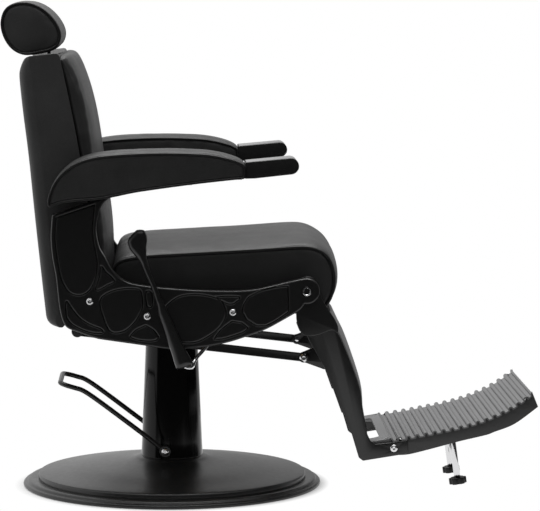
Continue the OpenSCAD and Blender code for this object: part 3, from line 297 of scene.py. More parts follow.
def plainMesh(obj):
    # modifiers are baked into the mesh and removed
    graph = bpy.context.evaluated_depsgraph_get()
    graph.update()
    mesh = bpy.data.meshes.new_from_object(obj.evaluated_get(graph))
    obj.modifiers.clear()
    obj.data = mesh
    return obj


def objectFrom(name, data):
    if isinstance(data, bmesh.types.BMesh):
        mesh = bpy.data.meshes.new(name)
        data.to_mesh(mesh)
        data.free()
        data = mesh
    obj = bpy.data.objects.new(name, data)
    bpy.context.scene.collection.objects.link(obj)
    return obj


def cadMesh(node, weld=2e-6):
    # a CAD node is loose triangles; the copy is merged, the node stays as it is
    bm = bmesh.new()
    bm.from_mesh(nodes[node].data)
    bmesh.ops.remove_doubles(bm, verts=bm.verts, dist=weld)
    return bm


def settle(piece, *standsFor, body=None, slot=None, material=None, sharp=32):
    slot = slot or slotOf[standsFor[0]]
    piece.data.materials.clear()
    piece.data.materials.append(material or finish[slot])
    piece.data.shade_smooth()
    piece.data.set_sharp_from_angle(angle=radians(sharp))
    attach(piece, body or bodyOf[standsFor[0]])
    if standsFor:
        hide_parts(*standsFor)
    return piece


def softenEdges(piece, width, segments=3, angle=35):
    bevel = piece.modifiers.new("edges", "BEVEL")
    bevel.width = width
    bevel.segments = segments
    bevel.limit_method = "ANGLE"
    bevel.angle_limit = radians(angle)
    bevel.use_clamp_overlap = False
    bevel.harden_normals = False
    return plainMesh(piece)


def dress(node, edge=0.7 * mm, segments=2, **how):
    # the node's own shape, with its flats joined up and its edges broken
    bm = cadMesh(node)
    bmesh.ops.dissolve_limit(bm, angle_limit=radians(0.6), verts=bm.verts[:], edges=bm.edges[:],
                             use_dissolve_boundaries=False)
    piece = objectFrom(node + "_finished", bm)
    piece.data.materials.append(finish[slotOf[node]])
    if edge:
        softenEdges(piece, edge, segments)
    return settle(piece, node, **how)


def dressAll(edge, segments, *names):
    for node in names:
        dress(node, edge, segments)


def smoothLine(points, steps, closed=False, corner=180):
    # Catmull-Rom through the points; a vertex that turns by more than corner stays sharp
    count = len(points)
    pts = [Vector(p) for p in points]
    made = []

    def at(i):
        return pts[i % count] if closed else pts[min(max(i, 0), count - 1)]

    def isCorner(i):
        before, after = at(i) - at(i - 1), at(i + 1) - at(i)
        if before.length < 1e-9 or after.length < 1e-9:
            return False
        return before.angle(after) > radians(corner)

    for i in range(count if closed else count - 1):
        b, c = at(i), at(i + 1)
        a = at(i - 1) if not isCorner(i) else b + (b - c)
        d = at(i + 2) if not isCorner(i + 1) else c + (c - b)
        for k in range(steps):
            t = k / steps
            made.append(0.5 * (2 * b + (c - a) * t + (2 * a - 5 * b + 4 * c - d) * t * t
                               + (3 * b - a - 3 * c + d) * t ** 3))
    if not closed:
        made.append(pts[-1])
    return made


def lathe(name, profile, count, closed=True, well=(0, 0)):
    # profile: radius and height, round a closed section or from pole to pole; a ring inside well is a hexagon
    bm = bmesh.new()
    rings = []
    for radius, height in profile:
        if radius == 0:
            rings.append([bm.verts.new((0, 0, height))] * count)
            continue
        ring = []
        for k in range(count):
            turn = 2 * math.pi * k / count
            hexagon = math.cos(math.pi / 6) / math.cos((turn % (math.pi / 3)) - math.pi / 6)
            r = radius * (hexagon if well[0] < radius < well[1] else 1)
            ring.append(bm.verts.new((r * math.cos(turn), r * math.sin(turn), height)))
        rings.append(ring)
    for low, high in zip(rings, rings[1:] + (rings[:1] if closed else [])):
        for k in range(count):
            after = (k + 1) % count
            corners = list(dict.fromkeys((low[k], low[after], high[after], high[k])))
            if len(corners) > 2:
                bm.faces.new(corners)
    bmesh.ops.recalc_face_normals(bm, faces=bm.faces)
    return objectFrom(name, bm)


def cutLoops(bm, height):
    # closed outlines of a mesh where the plane Y = height crosses it
    copy = bm.copy()
    found = bmesh.ops.bisect_plane(copy, geom=copy.verts[:] + copy.edges[:] + copy.faces[:], dist=1e-7,
                                   plane_co=(0, height, 0), plane_no=(0, 1, 0))
    edges = [e for e in found["geom_cut"] if isinstance(e, bmesh.types.BMEdge)]
    beside = {}
    for e in edges:
        for v in e.verts:
            beside.setdefault(v, []).append(e.other_vert(v))
    loops, used = [], set()
    for start in beside:
        if start in used:
            continue
        loop, last, here = [], None, start
        while here is not None and here not in used:
            used.add(here)
            loop.append(here.co.copy())
            onward = [v for v in beside[here] if v is not last and v not in used]
            last, here = here, onward[0] if onward else None
        if len(loop) > 2:
            loops.append(loop)
    copy.free()
    return loops


def area2(loop):
    return sum(a[0] * b[1] - b[0] * a[1] for a, b in zip(loop, loop[1:] + loop[:1]))


def flatLoops(node, height, corner=24, steps=3):
    # outlines at Y = height as X and Z, with their round stretches made smooth
    bm = cadMesh(node)
    bmesh.ops.dissolve_limit(bm, angle_limit=radians(0.3), verts=bm.verts[:], edges=bm.edges[:])
    loops = []
    for loop in cutLoops(bm, height):
        flat = [Vector((p.x, p.z)) for p in loop]
        thin = [p for i, p in enumerate(flat) if (p - flat[i - 1]).length > 0.25 * mm]
        line = dropStraight(thin)
        loops.append(smoothLine(line, steps, True, corner) if steps > 1 else line)
    bm.free()
    return loops


def dropStraight(loop):
    kept = []
    for i, p in enumerate(loop):
        before, after = p - loop[i - 1], loop[(i + 1) % len(loop)] - p
        if before.length > 1e-9 and after.length > 1e-9 and before.angle(after) > radians(0.4):
            kept.append(p)
    return kept if len(kept) > 2 else loop


def plate(name, loops, low, high, rounding, steps=4, upright=True, growth=0.0):
    # flat piece with rounded rims and its holes, from Y = low to high, or from Z = low to high if not upright
    curve = bpy.data.curves.new(name, "CURVE")
    curve.dimensions = "2D"
    curve.fill_mode = "BOTH"
    curve.extrude = max((high - low) / 2 - rounding, 0)
    curve.bevel_depth = rounding
    curve.bevel_resolution = steps
    curve.offset = growth - rounding
    for loop in loops:
        spline = curve.splines.new("POLY")
        spline.points.add(len(loop) - 1)
        for point, p in zip(spline.points, loop):
            point.co = (p[0], p[1], 0, 1)
        spline.use_cyclic_u = True
    made = objectFrom(name + "_curve", curve)
    graph = bpy.context.evaluated_depsgraph_get()
    mesh = bpy.data.meshes.new_from_object(made.evaluated_get(graph))
    bpy.data.objects.remove(made)
    middle = (low + high) / 2
    mesh.transform(Matrix.Translation((0, middle, 0)) @ Matrix.Rotation(radians(90), 4, "X") if upright
                   else Matrix.Translation((0, 0, middle)))
    bm = bmesh.new()
    bm.from_mesh(mesh)
    bmesh.ops.remove_doubles(bm, verts=bm.verts, dist=1e-5)
    bmesh.ops.recalc_face_normals(bm, faces=bm.faces)
    return objectFrom(name, bm)


def crownedPlate(name, loops, low, high, reach, drop, rings=5, spacing=2.0 * mm, shell=False):
    # flat piece whose outer face falls by drop over the last reach to its rims, also where a rib is narrow;
    # shell makes that face alone, turned about low to look the other way, with no back: it is open
    rims = []
    for loop in loops:
        dense = []
        for a, b in zip(loop, loop[1:] + loop[:1]):
            parts = max(1, round((b - a).length / spacing))
            dense += [a.lerp(b, k / parts) for k in range(parts)]
        rims.append(dense)
    points = [p for rim in rims for p in rim]
    count = len(points)
    near = KDTree(4 * count)
    edges = []
    for rim in rims:
        first = len(edges)
        for k, (a, b) in enumerate(zip(rim, rim[1:] + rim[:1])):
            edges.append((first + k, first + (k + 1) % len(rim)))
            for part in range(4):
                near.insert((*a.lerp(b, part / 4), 0), 0)
    near.balance()
    steps = [reach * (1 - math.cos(radians(90 * k / rings))) for k in range(1, rings + 1)] + [reach + 2 * mm]
    for rim in rims:
        for i, p in enumerate(rim):
            along = (rim[(i + 1) % len(rim)] - rim[i - 1]).normalized()
            for step in steps:
                for way in (Vector((-along.y, along.x)), Vector((along.y, -along.x))):
                    q = p + way * step
                    if near.find((*q, 0))[2] > step - 0.12 * mm:
                        points.append(q)
    front, _, facets, sources = geometry.delaunay_2d_cdt(points, edges, [], 2, 1e-7)[:4]
    back, _, rearFacets = geometry.delaunay_2d_cdt(points[:count], edges, [], 2, 1e-7)[:3]
    bm = bmesh.new()
    outer = {}
    for facet in facets:
        for i in facet:
            if i in outer:
                continue
            p = front[i]
            past = 1.0 if any(k < count for k in sources[i]) else 1 - min(near.find((*p, 0))[2] / reach, 1.0)
            outer[i] = bm.verts.new((p.x, high - drop * (1 - math.sqrt(1 - past * past)), p.y))
        bm.faces.new([outer[i] for i in facet])
    if shell:
        for v in bm.verts:
            v.co.y = 2 * low - v.co.y
    else:
        for v in bmesh.ops.extrude_edge_only(bm, edges=[e for e in bm.edges if e.is_boundary])["geom"]:
            if isinstance(v, bmesh.types.BMVert):
                v.co.y = low
        feet = [bm.verts.new((p.x, low, p.y)) for p in back]
        for facet in rearFacets:
            bm.faces.new([feet[i] for i in facet])
    bmesh.ops.remove_doubles(bm, verts=bm.verts, dist=2e-6)
    bmesh.ops.recalc_face_normals(bm, faces=bm.faces)
    return objectFrom(name, bm)


def joined(name, pieces):
    bm = bmesh.new()
    for piece in pieces:
        bm.from_mesh(piece.data)
        bpy.data.objects.remove(piece)
    return objectFrom(name, bm)


def mirrored(piece, name):
    bm = bmesh.new()
    bm.from_mesh(piece.data)
    bmesh.ops.transform(bm, matrix=Matrix.Scale(-1, 4, (0, 1, 0)), verts=bm.verts)
    bmesh.ops.reverse_faces(bm, faces=bm.faces)
    return objectFrom(name, bm)


def cutAway(piece, cutter):
    tool = piece.modifiers.new("cut", "BOOLEAN")
    tool.operation = "DIFFERENCE"
    tool.solver = "EXACT"
    tool.object = cutter
    plainMesh(piece)
    bpy.data.objects.remove(cutter)
    return piece


def blockFrom(low, high, name="block"):
    bm = bmesh.new()
    bmesh.ops.create_cube(bm, size=1)
    size = Vector(high) - Vector(low)
    for v in bm.verts:
        v.co = Vector(low) + Vector((size[k] * (v.co[k] + 0.5) for k in range(3)))
    return objectFrom(name, bm)


def shapeTree(name, inputs):
    shape = [("Geometry", "Geometry")]
    return groupTree(name, "GeometryNodeTree", shape + inputs + [("Material", "Material")], shape)


def endTree(tree, take, give, geometry):
    real = addNode(tree, "GeometryNodeRealizeInstances", {"Geometry": geometry}).outputs[0]
    shown = addNode(tree, "GeometryNodeSetMaterial", {"Geometry": real, "Material": take["Material"]})
    tree.links.new(shown.outputs[0], give["Geometry"])
    return tree


def grow(obj, tree, **values):
    # runs a geometry tree on the object and keeps the result as its mesh
    modifier = obj.modifiers.new("shape", "NODES")
    modifier.node_group = tree
    for item in tree.interface.items_tree:
        if item.item_type == "SOCKET" and item.in_out == "INPUT" and item.name in values:
            modifier[item.identifier] = values[item.name]
    return plainMesh(obj)


# A round section swept along a line of edges
def makeAlongPath():
    tree, take, give = shapeTree("alongPath", [("Radius", "Float", 0.004), ("Sides", "Int", 16)])
    line = addNode(tree, "GeometryNodeMeshToCurve", {"Mesh": take["Geometry"]}).outputs[0]
    ring = addNode(tree, "GeometryNodeCurvePrimitiveCircle",
                   {"Resolution": take["Sides"], "Radius": take["Radius"]}, mode="RADIUS").outputs[0]
    skin = addNode(tree, "GeometryNodeCurveToMesh", {"Curve": line, "Profile Curve": ring, "Fill Caps": True})
    return endTree(tree, take, give, skin.outputs[0])


# Heads set on points, each facing along its point's own direction and turned by a fixed random angle
def makeScrewRow():
    tree, take, give = shapeTree("screwRow", [("Head", "Object"), ("Size", "Float", 1.0), ("Seed", "Int", 4)])
    head = addNode(tree, "GeometryNodeObjectInfo", {"Object": take["Head"]}).outputs["Geometry"]
    facing = addNode(tree, "GeometryNodeInputNamedAttribute", {"Name": "facing"}, data_type="FLOAT_VECTOR")
    aim = addNode(tree, "FunctionNodeAlignRotationToVector", {"Vector": facing.outputs[0]}, axis="Z")
    turn = addNode(tree, "FunctionNodeRandomValue", {"Seed": take["Seed"], 2: 0.0, 3: 1.0}, data_type="FLOAT")
    spin = addNode(tree, "FunctionNodeAxisAngleToRotation", {"Axis": (0, 0, 1), "Angle": turn.outputs[1]})
    rotations = {"Rotation": aim.outputs[0], "Rotate By": spin.outputs[0]}
    both = addNode(tree, "FunctionNodeRotateRotation", rotations, rotation_space="LOCAL")
    put = addNode(tree, "GeometryNodeInstanceOnPoints", {"Points": take["Geometry"], "Instance": head,
                                                         "Rotation": both.outputs[0], "Scale": take["Size"]})
    return endTree(tree, take, give, put.outputs[0])


# A ribbed sheet along a line: the line rises in narrow ridges, then is widened and thickened
def makeRibbedSheet():
    perRib = 20.0
    tree, take, give = shapeTree("ribbedSheet", [("Ribs", "Int", 17), ("Rib height", "Float", 0.006),
                                                 ("Ridge foot", "Float", 0.35), ("Ridge top", "Float", 0.92),
                                                 ("Width", "Float", 0.36), ("Thickness", "Float", 0.003)])
    line = addNode(tree, "GeometryNodeMeshToCurve", {"Mesh": take["Geometry"]}).outputs[0]
    whole = mathNode(tree, "ADD", product(tree, take["Ribs"], perRib), 1.0)
    even = addNode(tree, "GeometryNodeResampleCurve", {"Curve": line, "Count": whole}, mode="COUNT")
    share = tree.nodes.new("GeometryNodeSplineParameter").outputs["Factor"]
    wave = mathNode(tree, "COSINE", product(tree, product(tree, share, 2 * math.pi), take["Ribs"]))
    span = {"From Min": take["Ridge foot"], "From Max": take["Ridge top"], "To Min": -0.5, "To Max": 0.5}
    ridge = addNode(tree, "ShaderNodeMapRange", {"Value": wave, **span}, interpolation_type="SMOOTHSTEP")
    along = tree.nodes.new("GeometryNodeInputTangent").outputs[0]
    upward = vectorNode(tree, "CROSS_PRODUCT", {0: along, 1: (0.0, 1.0, 0.0)})
    unit = vectorNode(tree, "NORMALIZE", {0: upward})
    shift = vectorNode(tree, "SCALE", {0: unit, "Scale": product(tree, ridge.outputs[0], take["Rib height"])})
    waved = addNode(tree, "GeometryNodeSetPosition", {"Geometry": even.outputs[0], "Offset": shift})
    reach = product(tree, take["Width"], 0.5)
    start, end = (addNode(tree, "ShaderNodeCombineXYZ", {"X": x}).outputs[0]
                  for x in (product(tree, reach, -1.0), reach))
    across = addNode(tree, "GeometryNodeCurvePrimitiveLine", {"Start": start, "End": end}).outputs[0]
    split = addNode(tree, "GeometryNodeResampleCurve", {"Curve": across, "Count": 9}, mode="COUNT").outputs[0]
    swept = {"Curve": waved.outputs[0], "Profile Curve": split}
    sheet = addNode(tree, "GeometryNodeCurveToMesh", swept).outputs[0]
    thick = addNode(tree, "GeometryNodeExtrudeMesh", {"Mesh": sheet, "Offset Scale": take["Thickness"],
                                                      "Individual": False}, mode="FACES").outputs[0]
    under = addNode(tree, "GeometryNodeFlipFaces", {"Mesh": sheet}).outputs[0]
    both = addNode(tree, "GeometryNodeJoinGeometry")
    for half in (thick, under):
        tree.links.new(half, both.inputs[0])
    solid = addNode(tree, "GeometryNodeMergeByDistance", {"Geometry": both.outputs[0], "Distance": 1e-5})
    return endTree(tree, take, give, solid.outputs[0])


alongPath = makeAlongPath()
screwRow = makeScrewRow()
ribbedSheet = makeRibbedSheet()


def edgeLine(name, points, closed=False):
    bm = bmesh.new()
    verts = [bm.verts.new(p) for p in points]
    for a, b in zip(verts, verts[1:] + (verts[:1] if closed else [])):
        bm.edges.new((a, b))
    return objectFrom(name, bm)


def tube(name, points, radius, closed=False, steps=5, sides=16, material=None):
    line = edgeLine(name, smoothLine(points, steps, closed) if steps > 1 else points, closed)
    grow(line, alongPath, Radius=radius, Sides=sides, Material=material or finish["frame_paint"])
    bm = bmesh.new()
    bm.from_mesh(line.data)
    bmesh.ops.remove_doubles(bm, verts=bm.verts, dist=1e-6)
    bmesh.ops.recalc_face_normals(bm, faces=bm.faces)
    bm.to_mesh(line.data)
    bm.free()
    return line


# Screw heads facing +Z from their seat at the origin, 1 in radius; one has a hexagon well, one a round hollow
screwHead = lathe("screwHead", [(0, 0), (0.95, 0), (1, 0.08), (1, 0.2), (0.93, 0.34), (0.64, 0.6),
                                (0.58, 0.63), (0.52, 0.62), (0.47, 0.56), (0.44, 0.2), (0.24, 0.2),
                                (0.21, 0.42), (0.12, 0.5), (0, 0.52)], 36, False, (0.4, 0.48))
ringHead = lathe("ringHead", [(0, 0), (0.95, 0), (1, 0.06), (1, 0.22), (0.96, 0.32), (0.86, 0.37),
                              (0.74, 0.36), (0.68, 0.3), (0.68, 0.1), (0, 0.1)], 36, False)
for head in (screwHead, ringHead):
    head.data.materials.append(finish["bright_chrome"])


def screws(name, places, size, *standsFor, head=screwHead, shafts=(), **how):
    # places: point and facing; shafts: start, end and radius of what stands behind the heads
    bm = bmesh.new()
    for at, _ in places:
        bm.verts.new(at)
    row = objectFrom(name, bm)
    facing = row.data.attributes.new("facing", "FLOAT_VECTOR", "POINT")
    for i, (_, way) in enumerate(places):
        facing.data[i].vector = way
    grow(row, screwRow, Head=head, Size=size, Seed=4, Material=finish["bright_chrome"])
    parts = [row]
    for i, (start, end, radius) in enumerate(shafts):
        parts.append(tube(f"{name}_shaft{i}", [Vector(start), Vector(end)], radius, steps=1, sides=24))
    return settle(joined(name, parts), *standsFor, **how)


print("geometry trees ready")


def makeBase():
    ringHigh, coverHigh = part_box("floor_ring")[1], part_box("base_cover")[1]
    base = dict(outer=ringHigh.x, top=ringHigh.z, coverEdge=coverHigh.x, coverRim=8 * mm, crown=coverHigh.z,
                columnFoot=67 * mm, sheet=1.6 * mm)
    outer, top, edge = base["outer"], base["top"], base["coverEdge"]
    step = edge + 0.55 * (outer - edge)
    ring = [(edge - 8 * mm, 0), (outer - 5 * mm, 0), (outer - 2.2 * mm, 0.6 * mm),
            (outer - 0.5 * mm, 2.4 * mm), (outer, 4.6 * mm), (outer - 0.5 * mm, 6.8 * mm),
            (outer - 2.4 * mm, 8.8 * mm), (outer - 5.4 * mm, 9.8 * mm),
            (step + 7.5 * mm, top * 0.62), (step + 6.2 * mm, top * 0.66), (step + 5.4 * mm, top * 0.78),
            (step + 3.4 * mm, top * 0.92), (step, top * 0.985), (step - 5 * mm, top), (edge - 8 * mm, top)]
    settle(lathe("floor_ring_turned", ring, 192), "floor_ring", sharp=50)
    rise = base["crown"] - top
    foot = base["columnFoot"]
    rim = top + base["coverRim"]
    dome = smoothLine([(edge, rim), (edge - 2.2 * mm, rim + 2.6 * mm), (edge - 7 * mm, rim + 4.6 * mm),
                       (edge * 0.82, rim + rise * 0.24), (edge * 0.62, rim + rise * 0.44),
                       (foot + 30 * mm, base["crown"] - 8.5 * mm), (foot + 9 * mm, base["crown"] - 2.4 * mm),
                       (foot, base["crown"])], 5)
    outside = [(edge, top)] + [(p[0], p[1]) for p in dome]
    inside = [(max(r - base["sheet"], foot), z - (base["sheet"] if i > 1 else 0))
              for i, (r, z) in enumerate(outside)]
    settle(lathe("base_cover_pressed", outside + inside[::-1], 192), "base_cover", sharp=50)


def makeColumn():
    low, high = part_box("column_cover")
    column = dict(foot=high.x, top=56 * mm, wall=2 * mm, rim=3 * mm, slot=20 * mm, slotAt=-15 * mm,
                  slotTop=108 * mm)
    foot, top, wall = column["foot"], column["top"], column["wall"]
    profile = [(foot - wall, low.z), (foot + 0.3 * mm, low.z), (foot + 0.3 * mm, low.z + 1.2 * mm),
               (foot, low.z + 2.5 * mm)]
    profile += [(foot + (top - foot) * k / 8, low.z + (high.z - column["rim"] - low.z) * k / 8)
                for k in range(1, 9)]
    profile += [(top - 0.5 * mm, high.z - 1.2 * mm), (top - 2 * mm, high.z), (top - 2 * mm - wall, high.z)]
    cover = lathe("column_cover_spun", profile, 192)
    half = column["slot"] / 2
    cutAway(cover, blockFrom((column["slotAt"] - half, -0.2, low.z - 0.01),
                             (column["slotAt"] + half, 0.2, column["slotTop"])))
    settle(cover, "column_cover", sharp=40)


makeBase()
makeColumn()
print("base and column ready")


def makePump():
    dressAll(0.5 * mm, 2, "base_plate", "pump_housing", "pump_bolts", "guide_bush", "ram_seal", "ram_piston",
             "pedal_shaft")
    dressAll(0.4 * mm, 2, "ram_tube")
    dressAll(0.8 * mm, 2, "swivel_socket", "socket_bolts")


def makePedal():
    # sizes in millimetres; side is the arm's line from the axle to the tip, as X and the height over the axle
    pedal = dict(side=[(-63, 39), (-155, 109), (-190, 133), (-206, 139), (-241, 149)], axle=(-15, 84),
                 half=88, rod=5.25, bend=22, slope=0.28, eye=12, eyeBore=7, eyeWidth=5.2, eyeEdge=0.8,
                 bolt=3, boltIn=12, boltOut=5.25, head=8)
    points = [Vector((x, pedal["half"], z + pedal["axle"][1])) for x, z in pedal["side"][:-1]]
    arm = smoothLine(points, 4)
    tip = Vector((pedal["side"][-1][0], 0, pedal["side"][-1][1] + pedal["axle"][1]))
    corner = []
    for k in range(7):
        a = radians(15 * k)
        back = pedal["bend"] * (1 - math.sin(a))
        corner.append(Vector((tip.x + back, pedal["half"] - pedal["bend"] * (1 - math.cos(a)),
                              tip.z - back * pedal["slope"])))
    start = Vector((pedal["axle"][0] - pedal["eye"] * 0.78, pedal["half"],
                    pedal["axle"][1] + pedal["eye"] * 0.62))
    path = [start] + arm + corner
    path += [Vector((p.x, -p.y, p.z)) for p in reversed(path)]
    rod = tube("pedal_rod", [p * mm for p in path], pedal["rod"] * mm, steps=1, sides=20)
    bore, rim, wide = pedal["eyeBore"], pedal["eye"], pedal["eyeWidth"]
    edge = pedal["eyeEdge"]
    section = [(bore, -wide), (rim - edge, -wide), (rim, edge - wide), (rim, wide - edge), (rim - edge, wide),
               (bore, wide)]
    eyes = []
    for side in (-1, 1):
        ring = lathe("pedal_eye", [(r * mm, z * mm) for r, z in section], 40)
        turn = Matrix.Translation(Vector((pedal["axle"][0], side * pedal["half"], pedal["axle"][1])) * mm)
        ring.data.transform(turn @ Matrix.Rotation(radians(90), 4, "X"))
        eyes.append(ring)
    settle(joined("pump_pedal_bent", [rod] + eyes), "pump_pedal", sharp=40)
    end = (pedal["half"] + pedal["boltOut"]) * mm
    at = Vector((pedal["axle"][0] * mm, 0, pedal["axle"][1] * mm))
    screws("pedal_bolts_set", [(at + Vector((0, side * end, 0)), (0, side, 0)) for side in (-1, 1)],
           pedal["head"] * mm, "pedal_bolts",
           shafts=[(at + Vector((0, side * (end - pedal["boltIn"] * mm), 0)), at + Vector((0, side * end, 0)),
                    pedal["bolt"] * mm) for side in (-1, 1)])


makePump()
makePedal()
print("pump and pedal ready")


def makeSeatFrame():
    dressAll(1.2 * mm, 3, "seat_frame")
    dressAll(1.0 * mm, 2, "seat_board")
    dressAll(0.8 * mm, 3, "lock_cylinder")
    dressAll(0.6 * mm, 2, "lever_bearings")
    dressAll(0.4 * mm, 2, "lever_shaft")
    dressAll(0.5 * mm, 2, "lock_rod")
    dressAll(0.8 * mm, 3, "back_frame", "post_sleeve")
    dressAll(0.5 * mm, 2, "headrest_core")
    dressAll(0.7 * mm, 3, "headrest_post")


makeSeatFrame()
print("seat frame ready")


def makeSidePanels():
    panel = dict(ribRound=4.0 * mm, plateRound=1.2 * mm, insertReach=14 * mm, insertDrop=2.6 * mm)
    low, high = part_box("side_panel_left")
    insertLow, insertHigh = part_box("panel_inserts_left")
    face = insertLow.y
    webs = flatLoops("side_panel_left", (face + high.y) / 2 - 1.5 * mm)
    ribs = crownedPlate("panel_ribs", webs, face - 3 * mm, high.y, panel["ribRound"], panel["ribRound"])
    sheet = flatLoops("side_panel_left", (low.y + face) / 2)
    back = plate("panel_back", sheet, low.y, face, panel["plateRound"])
    left = joined("side_panel_left_moulded", [ribs, back])
    right = mirrored(left, "side_panel_right_moulded")
    settle(left, "side_panel_left", sharp=40)
    settle(right, "side_panel_right", sharp=40)
    cells = flatLoops("panel_inserts_left", (face + insertHigh.y) / 2)
    inner = crownedPlate("panel_inserts_left_moulded", cells, face - 1 * mm, insertHigh.y + 0.8 * mm,
                         panel["insertReach"], panel["insertDrop"], rings=6, spacing=4.0 * mm)
    outer = mirrored(inner, "panel_inserts_right_moulded")
    settle(inner, "panel_inserts_left", sharp=40)
    settle(outer, "panel_inserts_right", sharp=40)


def onSides(x, z, y):
    return [(Vector((x, side * y, z)), Vector((0, side, 0))) for side in (-1, 1)]


def makePanelScrews():
    size = dict(panel=8 * mm, pivot=9.5 * mm, shank=4 * mm, thick=8 * mm, well=6.3 * mm)
    depth = dict(panel=41 * mm, back=28 * mm, shoulder=27 * mm, leg=37 * mm)
    bossAt = [(-51 * mm, 403 * mm), (127 * mm, 411 * mm)]
    backAt, legAt, shoulderFrom = (-170 * mm, 435 * mm), (281 * mm, 454 * mm), 236.6 * mm
    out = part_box("side_panel_left")[1].y
    places = [p for x, z in bossAt for p in onSides(x, z, out)]
    screws("panel_screws_set", places, size["panel"], "panel_screws",
           shafts=[(at - way * depth["panel"], at, size["shank"]) for at, way in places])
    back = onSides(*backAt, out)
    shanks = [(at - way * depth["back"], at, size["shank"]) for at, way in back]
    shoulders = [(Vector((at.x, way.y * shoulderFrom, at.z)), at - way * depth["shoulder"], size["thick"])
                 for at, way in back]
    screws("back_pivot_bolts_set", back, size["panel"], "back_pivot_bolts", shafts=shanks + shoulders)
    leg = onSides(*legAt, out)
    screws("leg_pivot_bolts_set", leg, size["pivot"], "leg_pivot_bolts", head=ringHead,
           shafts=[(at - way * depth["leg"], at, size["thick"]) for at, way in leg])
    # dark discs set into the hollows of the ring heads: painted shade
    shadeDiscs = [tube(f"well{i}", [at + way * 0.5 * mm, at + way * 1.7 * mm], size["well"], steps=1, sides=32)
             for i, (at, way) in enumerate(leg)]
    settle(joined("leg_pivot_wells", shadeDiscs), body="seat", slot="grip_black")


makeSidePanels()
makePanelScrews()
print("side panels ready")


def resampleSide(points, count):
    lengths = [0.0]
    for a, b in zip(points, points[1:]):
        lengths.append(lengths[-1] + (b - a).length)
    made, k = [], 0
    for i in range(count):
        want = lengths[-1] * i / count
        while k < len(points) - 2 and lengths[k + 1] < want:
            k += 1
        span = max(lengths[k + 1] - lengths[k], 1e-9)
        made.append(points[k].lerp(points[k + 1], (want - lengths[k]) / span))
    return made


def squareLoop(loop, corners, counts):
    # the loop from its rear lower corner round by the front, with a fixed count on each side
    if area2(loop) < 0:
        loop = loop[::-1]
    marks = [max(range(len(loop)), key=lambda i: loop[i].dot(Vector(way))) for way in corners]
    made = []
    for s in range(4):
        start, end = marks[s], marks[(s + 1) % 4]
        run = [loop[(start + k) % len(loop)] for k in range((end - start) % len(loop) + 1)]
        made += resampleSide(run, counts[s % 2])
    return made


def coonsPatch(ring, across, up):
    # rows of points that fill a ring of 2 * (across + up) points
    n = len(ring)
    rows = []
    for j in range(up + 1):
        v = j / up
        row = []
        for i in range(across + 1):
            u = i / across
            bottom, top = ring[i], ring[(2 * across + up - i) % n]
            left, right = ring[(n - j) % n], ring[across + j]
            flat = (1 - v) * bottom + v * top + (1 - u) * left + u * right
            flat -= ((1 - u) * (1 - v) * ring[0] + u * (1 - v) * ring[across] + u * v * ring[across + up]
                     + (1 - u) * v * ring[(2 * across + up) % n])
            row.append(flat)
        rows.append(row)
    return rows


def softBody(name, sections, counts, bulge, seamInset):
    # sections: (y, ring of X and Z) from -Y to +Y; the end rings are seams that carry side panels
    across, up = counts
    n = 2 * (across + up)
    bm = bmesh.new()
    grid = [[bm.verts.new((p[0], y, p[1])) for p in ring] for y, ring in sections]
    for low, high in zip(grid, grid[1:]):
        for i in range(n):
            bm.faces.new((low[i], high[i], high[(i + 1) % n], low[(i + 1) % n]))
    for end, side in ((0, -1), (len(grid) - 1, 1)):
        y, ring = sections[end]
        inner = [insetPoint(ring, i, seamInset) for i in range(n)]
        rows = coonsPatch(inner, across, up)
        made = {}
        for j, row in enumerate(rows):
            for i, p in enumerate(row):
                depth = min(i, across - i, j, up - j)
                proud = bulge * (1 - (1 - min((depth + 1) / 4, 1)) ** 2)
                made[i, j] = bm.verts.new((p[0], y + side * proud, p[1]))
        for j in range(up):
            for i in range(across):
                bm.faces.new((made[i, j], made[i + 1, j], made[i + 1, j + 1], made[i, j + 1]))
        border = [made[i, 0] for i in range(across)] + [made[across, j] for j in range(up)]
        border += [made[across - i, up] for i in range(across)] + [made[0, up - j] for j in range(up)]
        for i in range(n):
            bm.faces.new((grid[end][i], grid[end][(i + 1) % n], border[(i + 1) % n], border[i]))
    bmesh.ops.recalc_face_normals(bm, faces=bm.faces)
    bm.verts.index_update()
    seams = [[v.index for v in grid[0]], [v.index for v in grid[-1]]]
    return objectFrom(name, bm), seams


def insetPoint(ring, i, depth):
    a, b, c = ring[i - 1], ring[i], ring[(i + 1) % len(ring)]
    way = (c - a).normalized()
    return b + Vector((-way.y, way.x)) * depth


def cadSections(node, shares, corners, counts, skip=None):
    # outlines of the node at shares of its half width, all with the same count of points; those nearer its
    # middle than skip are drawn between their neighbours
    low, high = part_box(node)
    middle = (low.y + high.y) / 2
    half = (high.y - low.y) / 2
    bm = cadMesh(node)
    made = []
    for share in shares:
        y = middle + share * half
        if skip and abs(y - middle) < skip:
            made.append((y, None))
            continue
        loops = cutLoops(bm, y)
        flat = [[Vector((p.x, p.z)) for p in loop] for loop in loops]
        ring = max(flat, key=lambda loop: abs(area2(loop)))
        made.append((y, squareLoop(ring, corners, counts)))
    bm.free()
    for k, (y, ring) in enumerate(made):
        if ring is None:
            before = max(i for i in range(k) if made[i][1] is not None)
            after = min(i for i in range(k, len(made)) if made[i][1] is not None)
            t = (y - made[before][0]) / (made[after][0] - made[before][0])
            made[k] = (y, [a.lerp(b, t) for a, b in zip(made[before][1], made[after][1])])
    return made


def smoothRings(sections, passes):
    # evens out each ring's points without moving its corners much
    made = []
    for y, ring in sections:
        for _ in range(passes):
            n = len(ring)
            ring = [ring[i] * 0.5 + (ring[i - 1] + ring[(i + 1) % n]) * 0.25 for i in range(n)]
        made.append((y, ring))
    return made


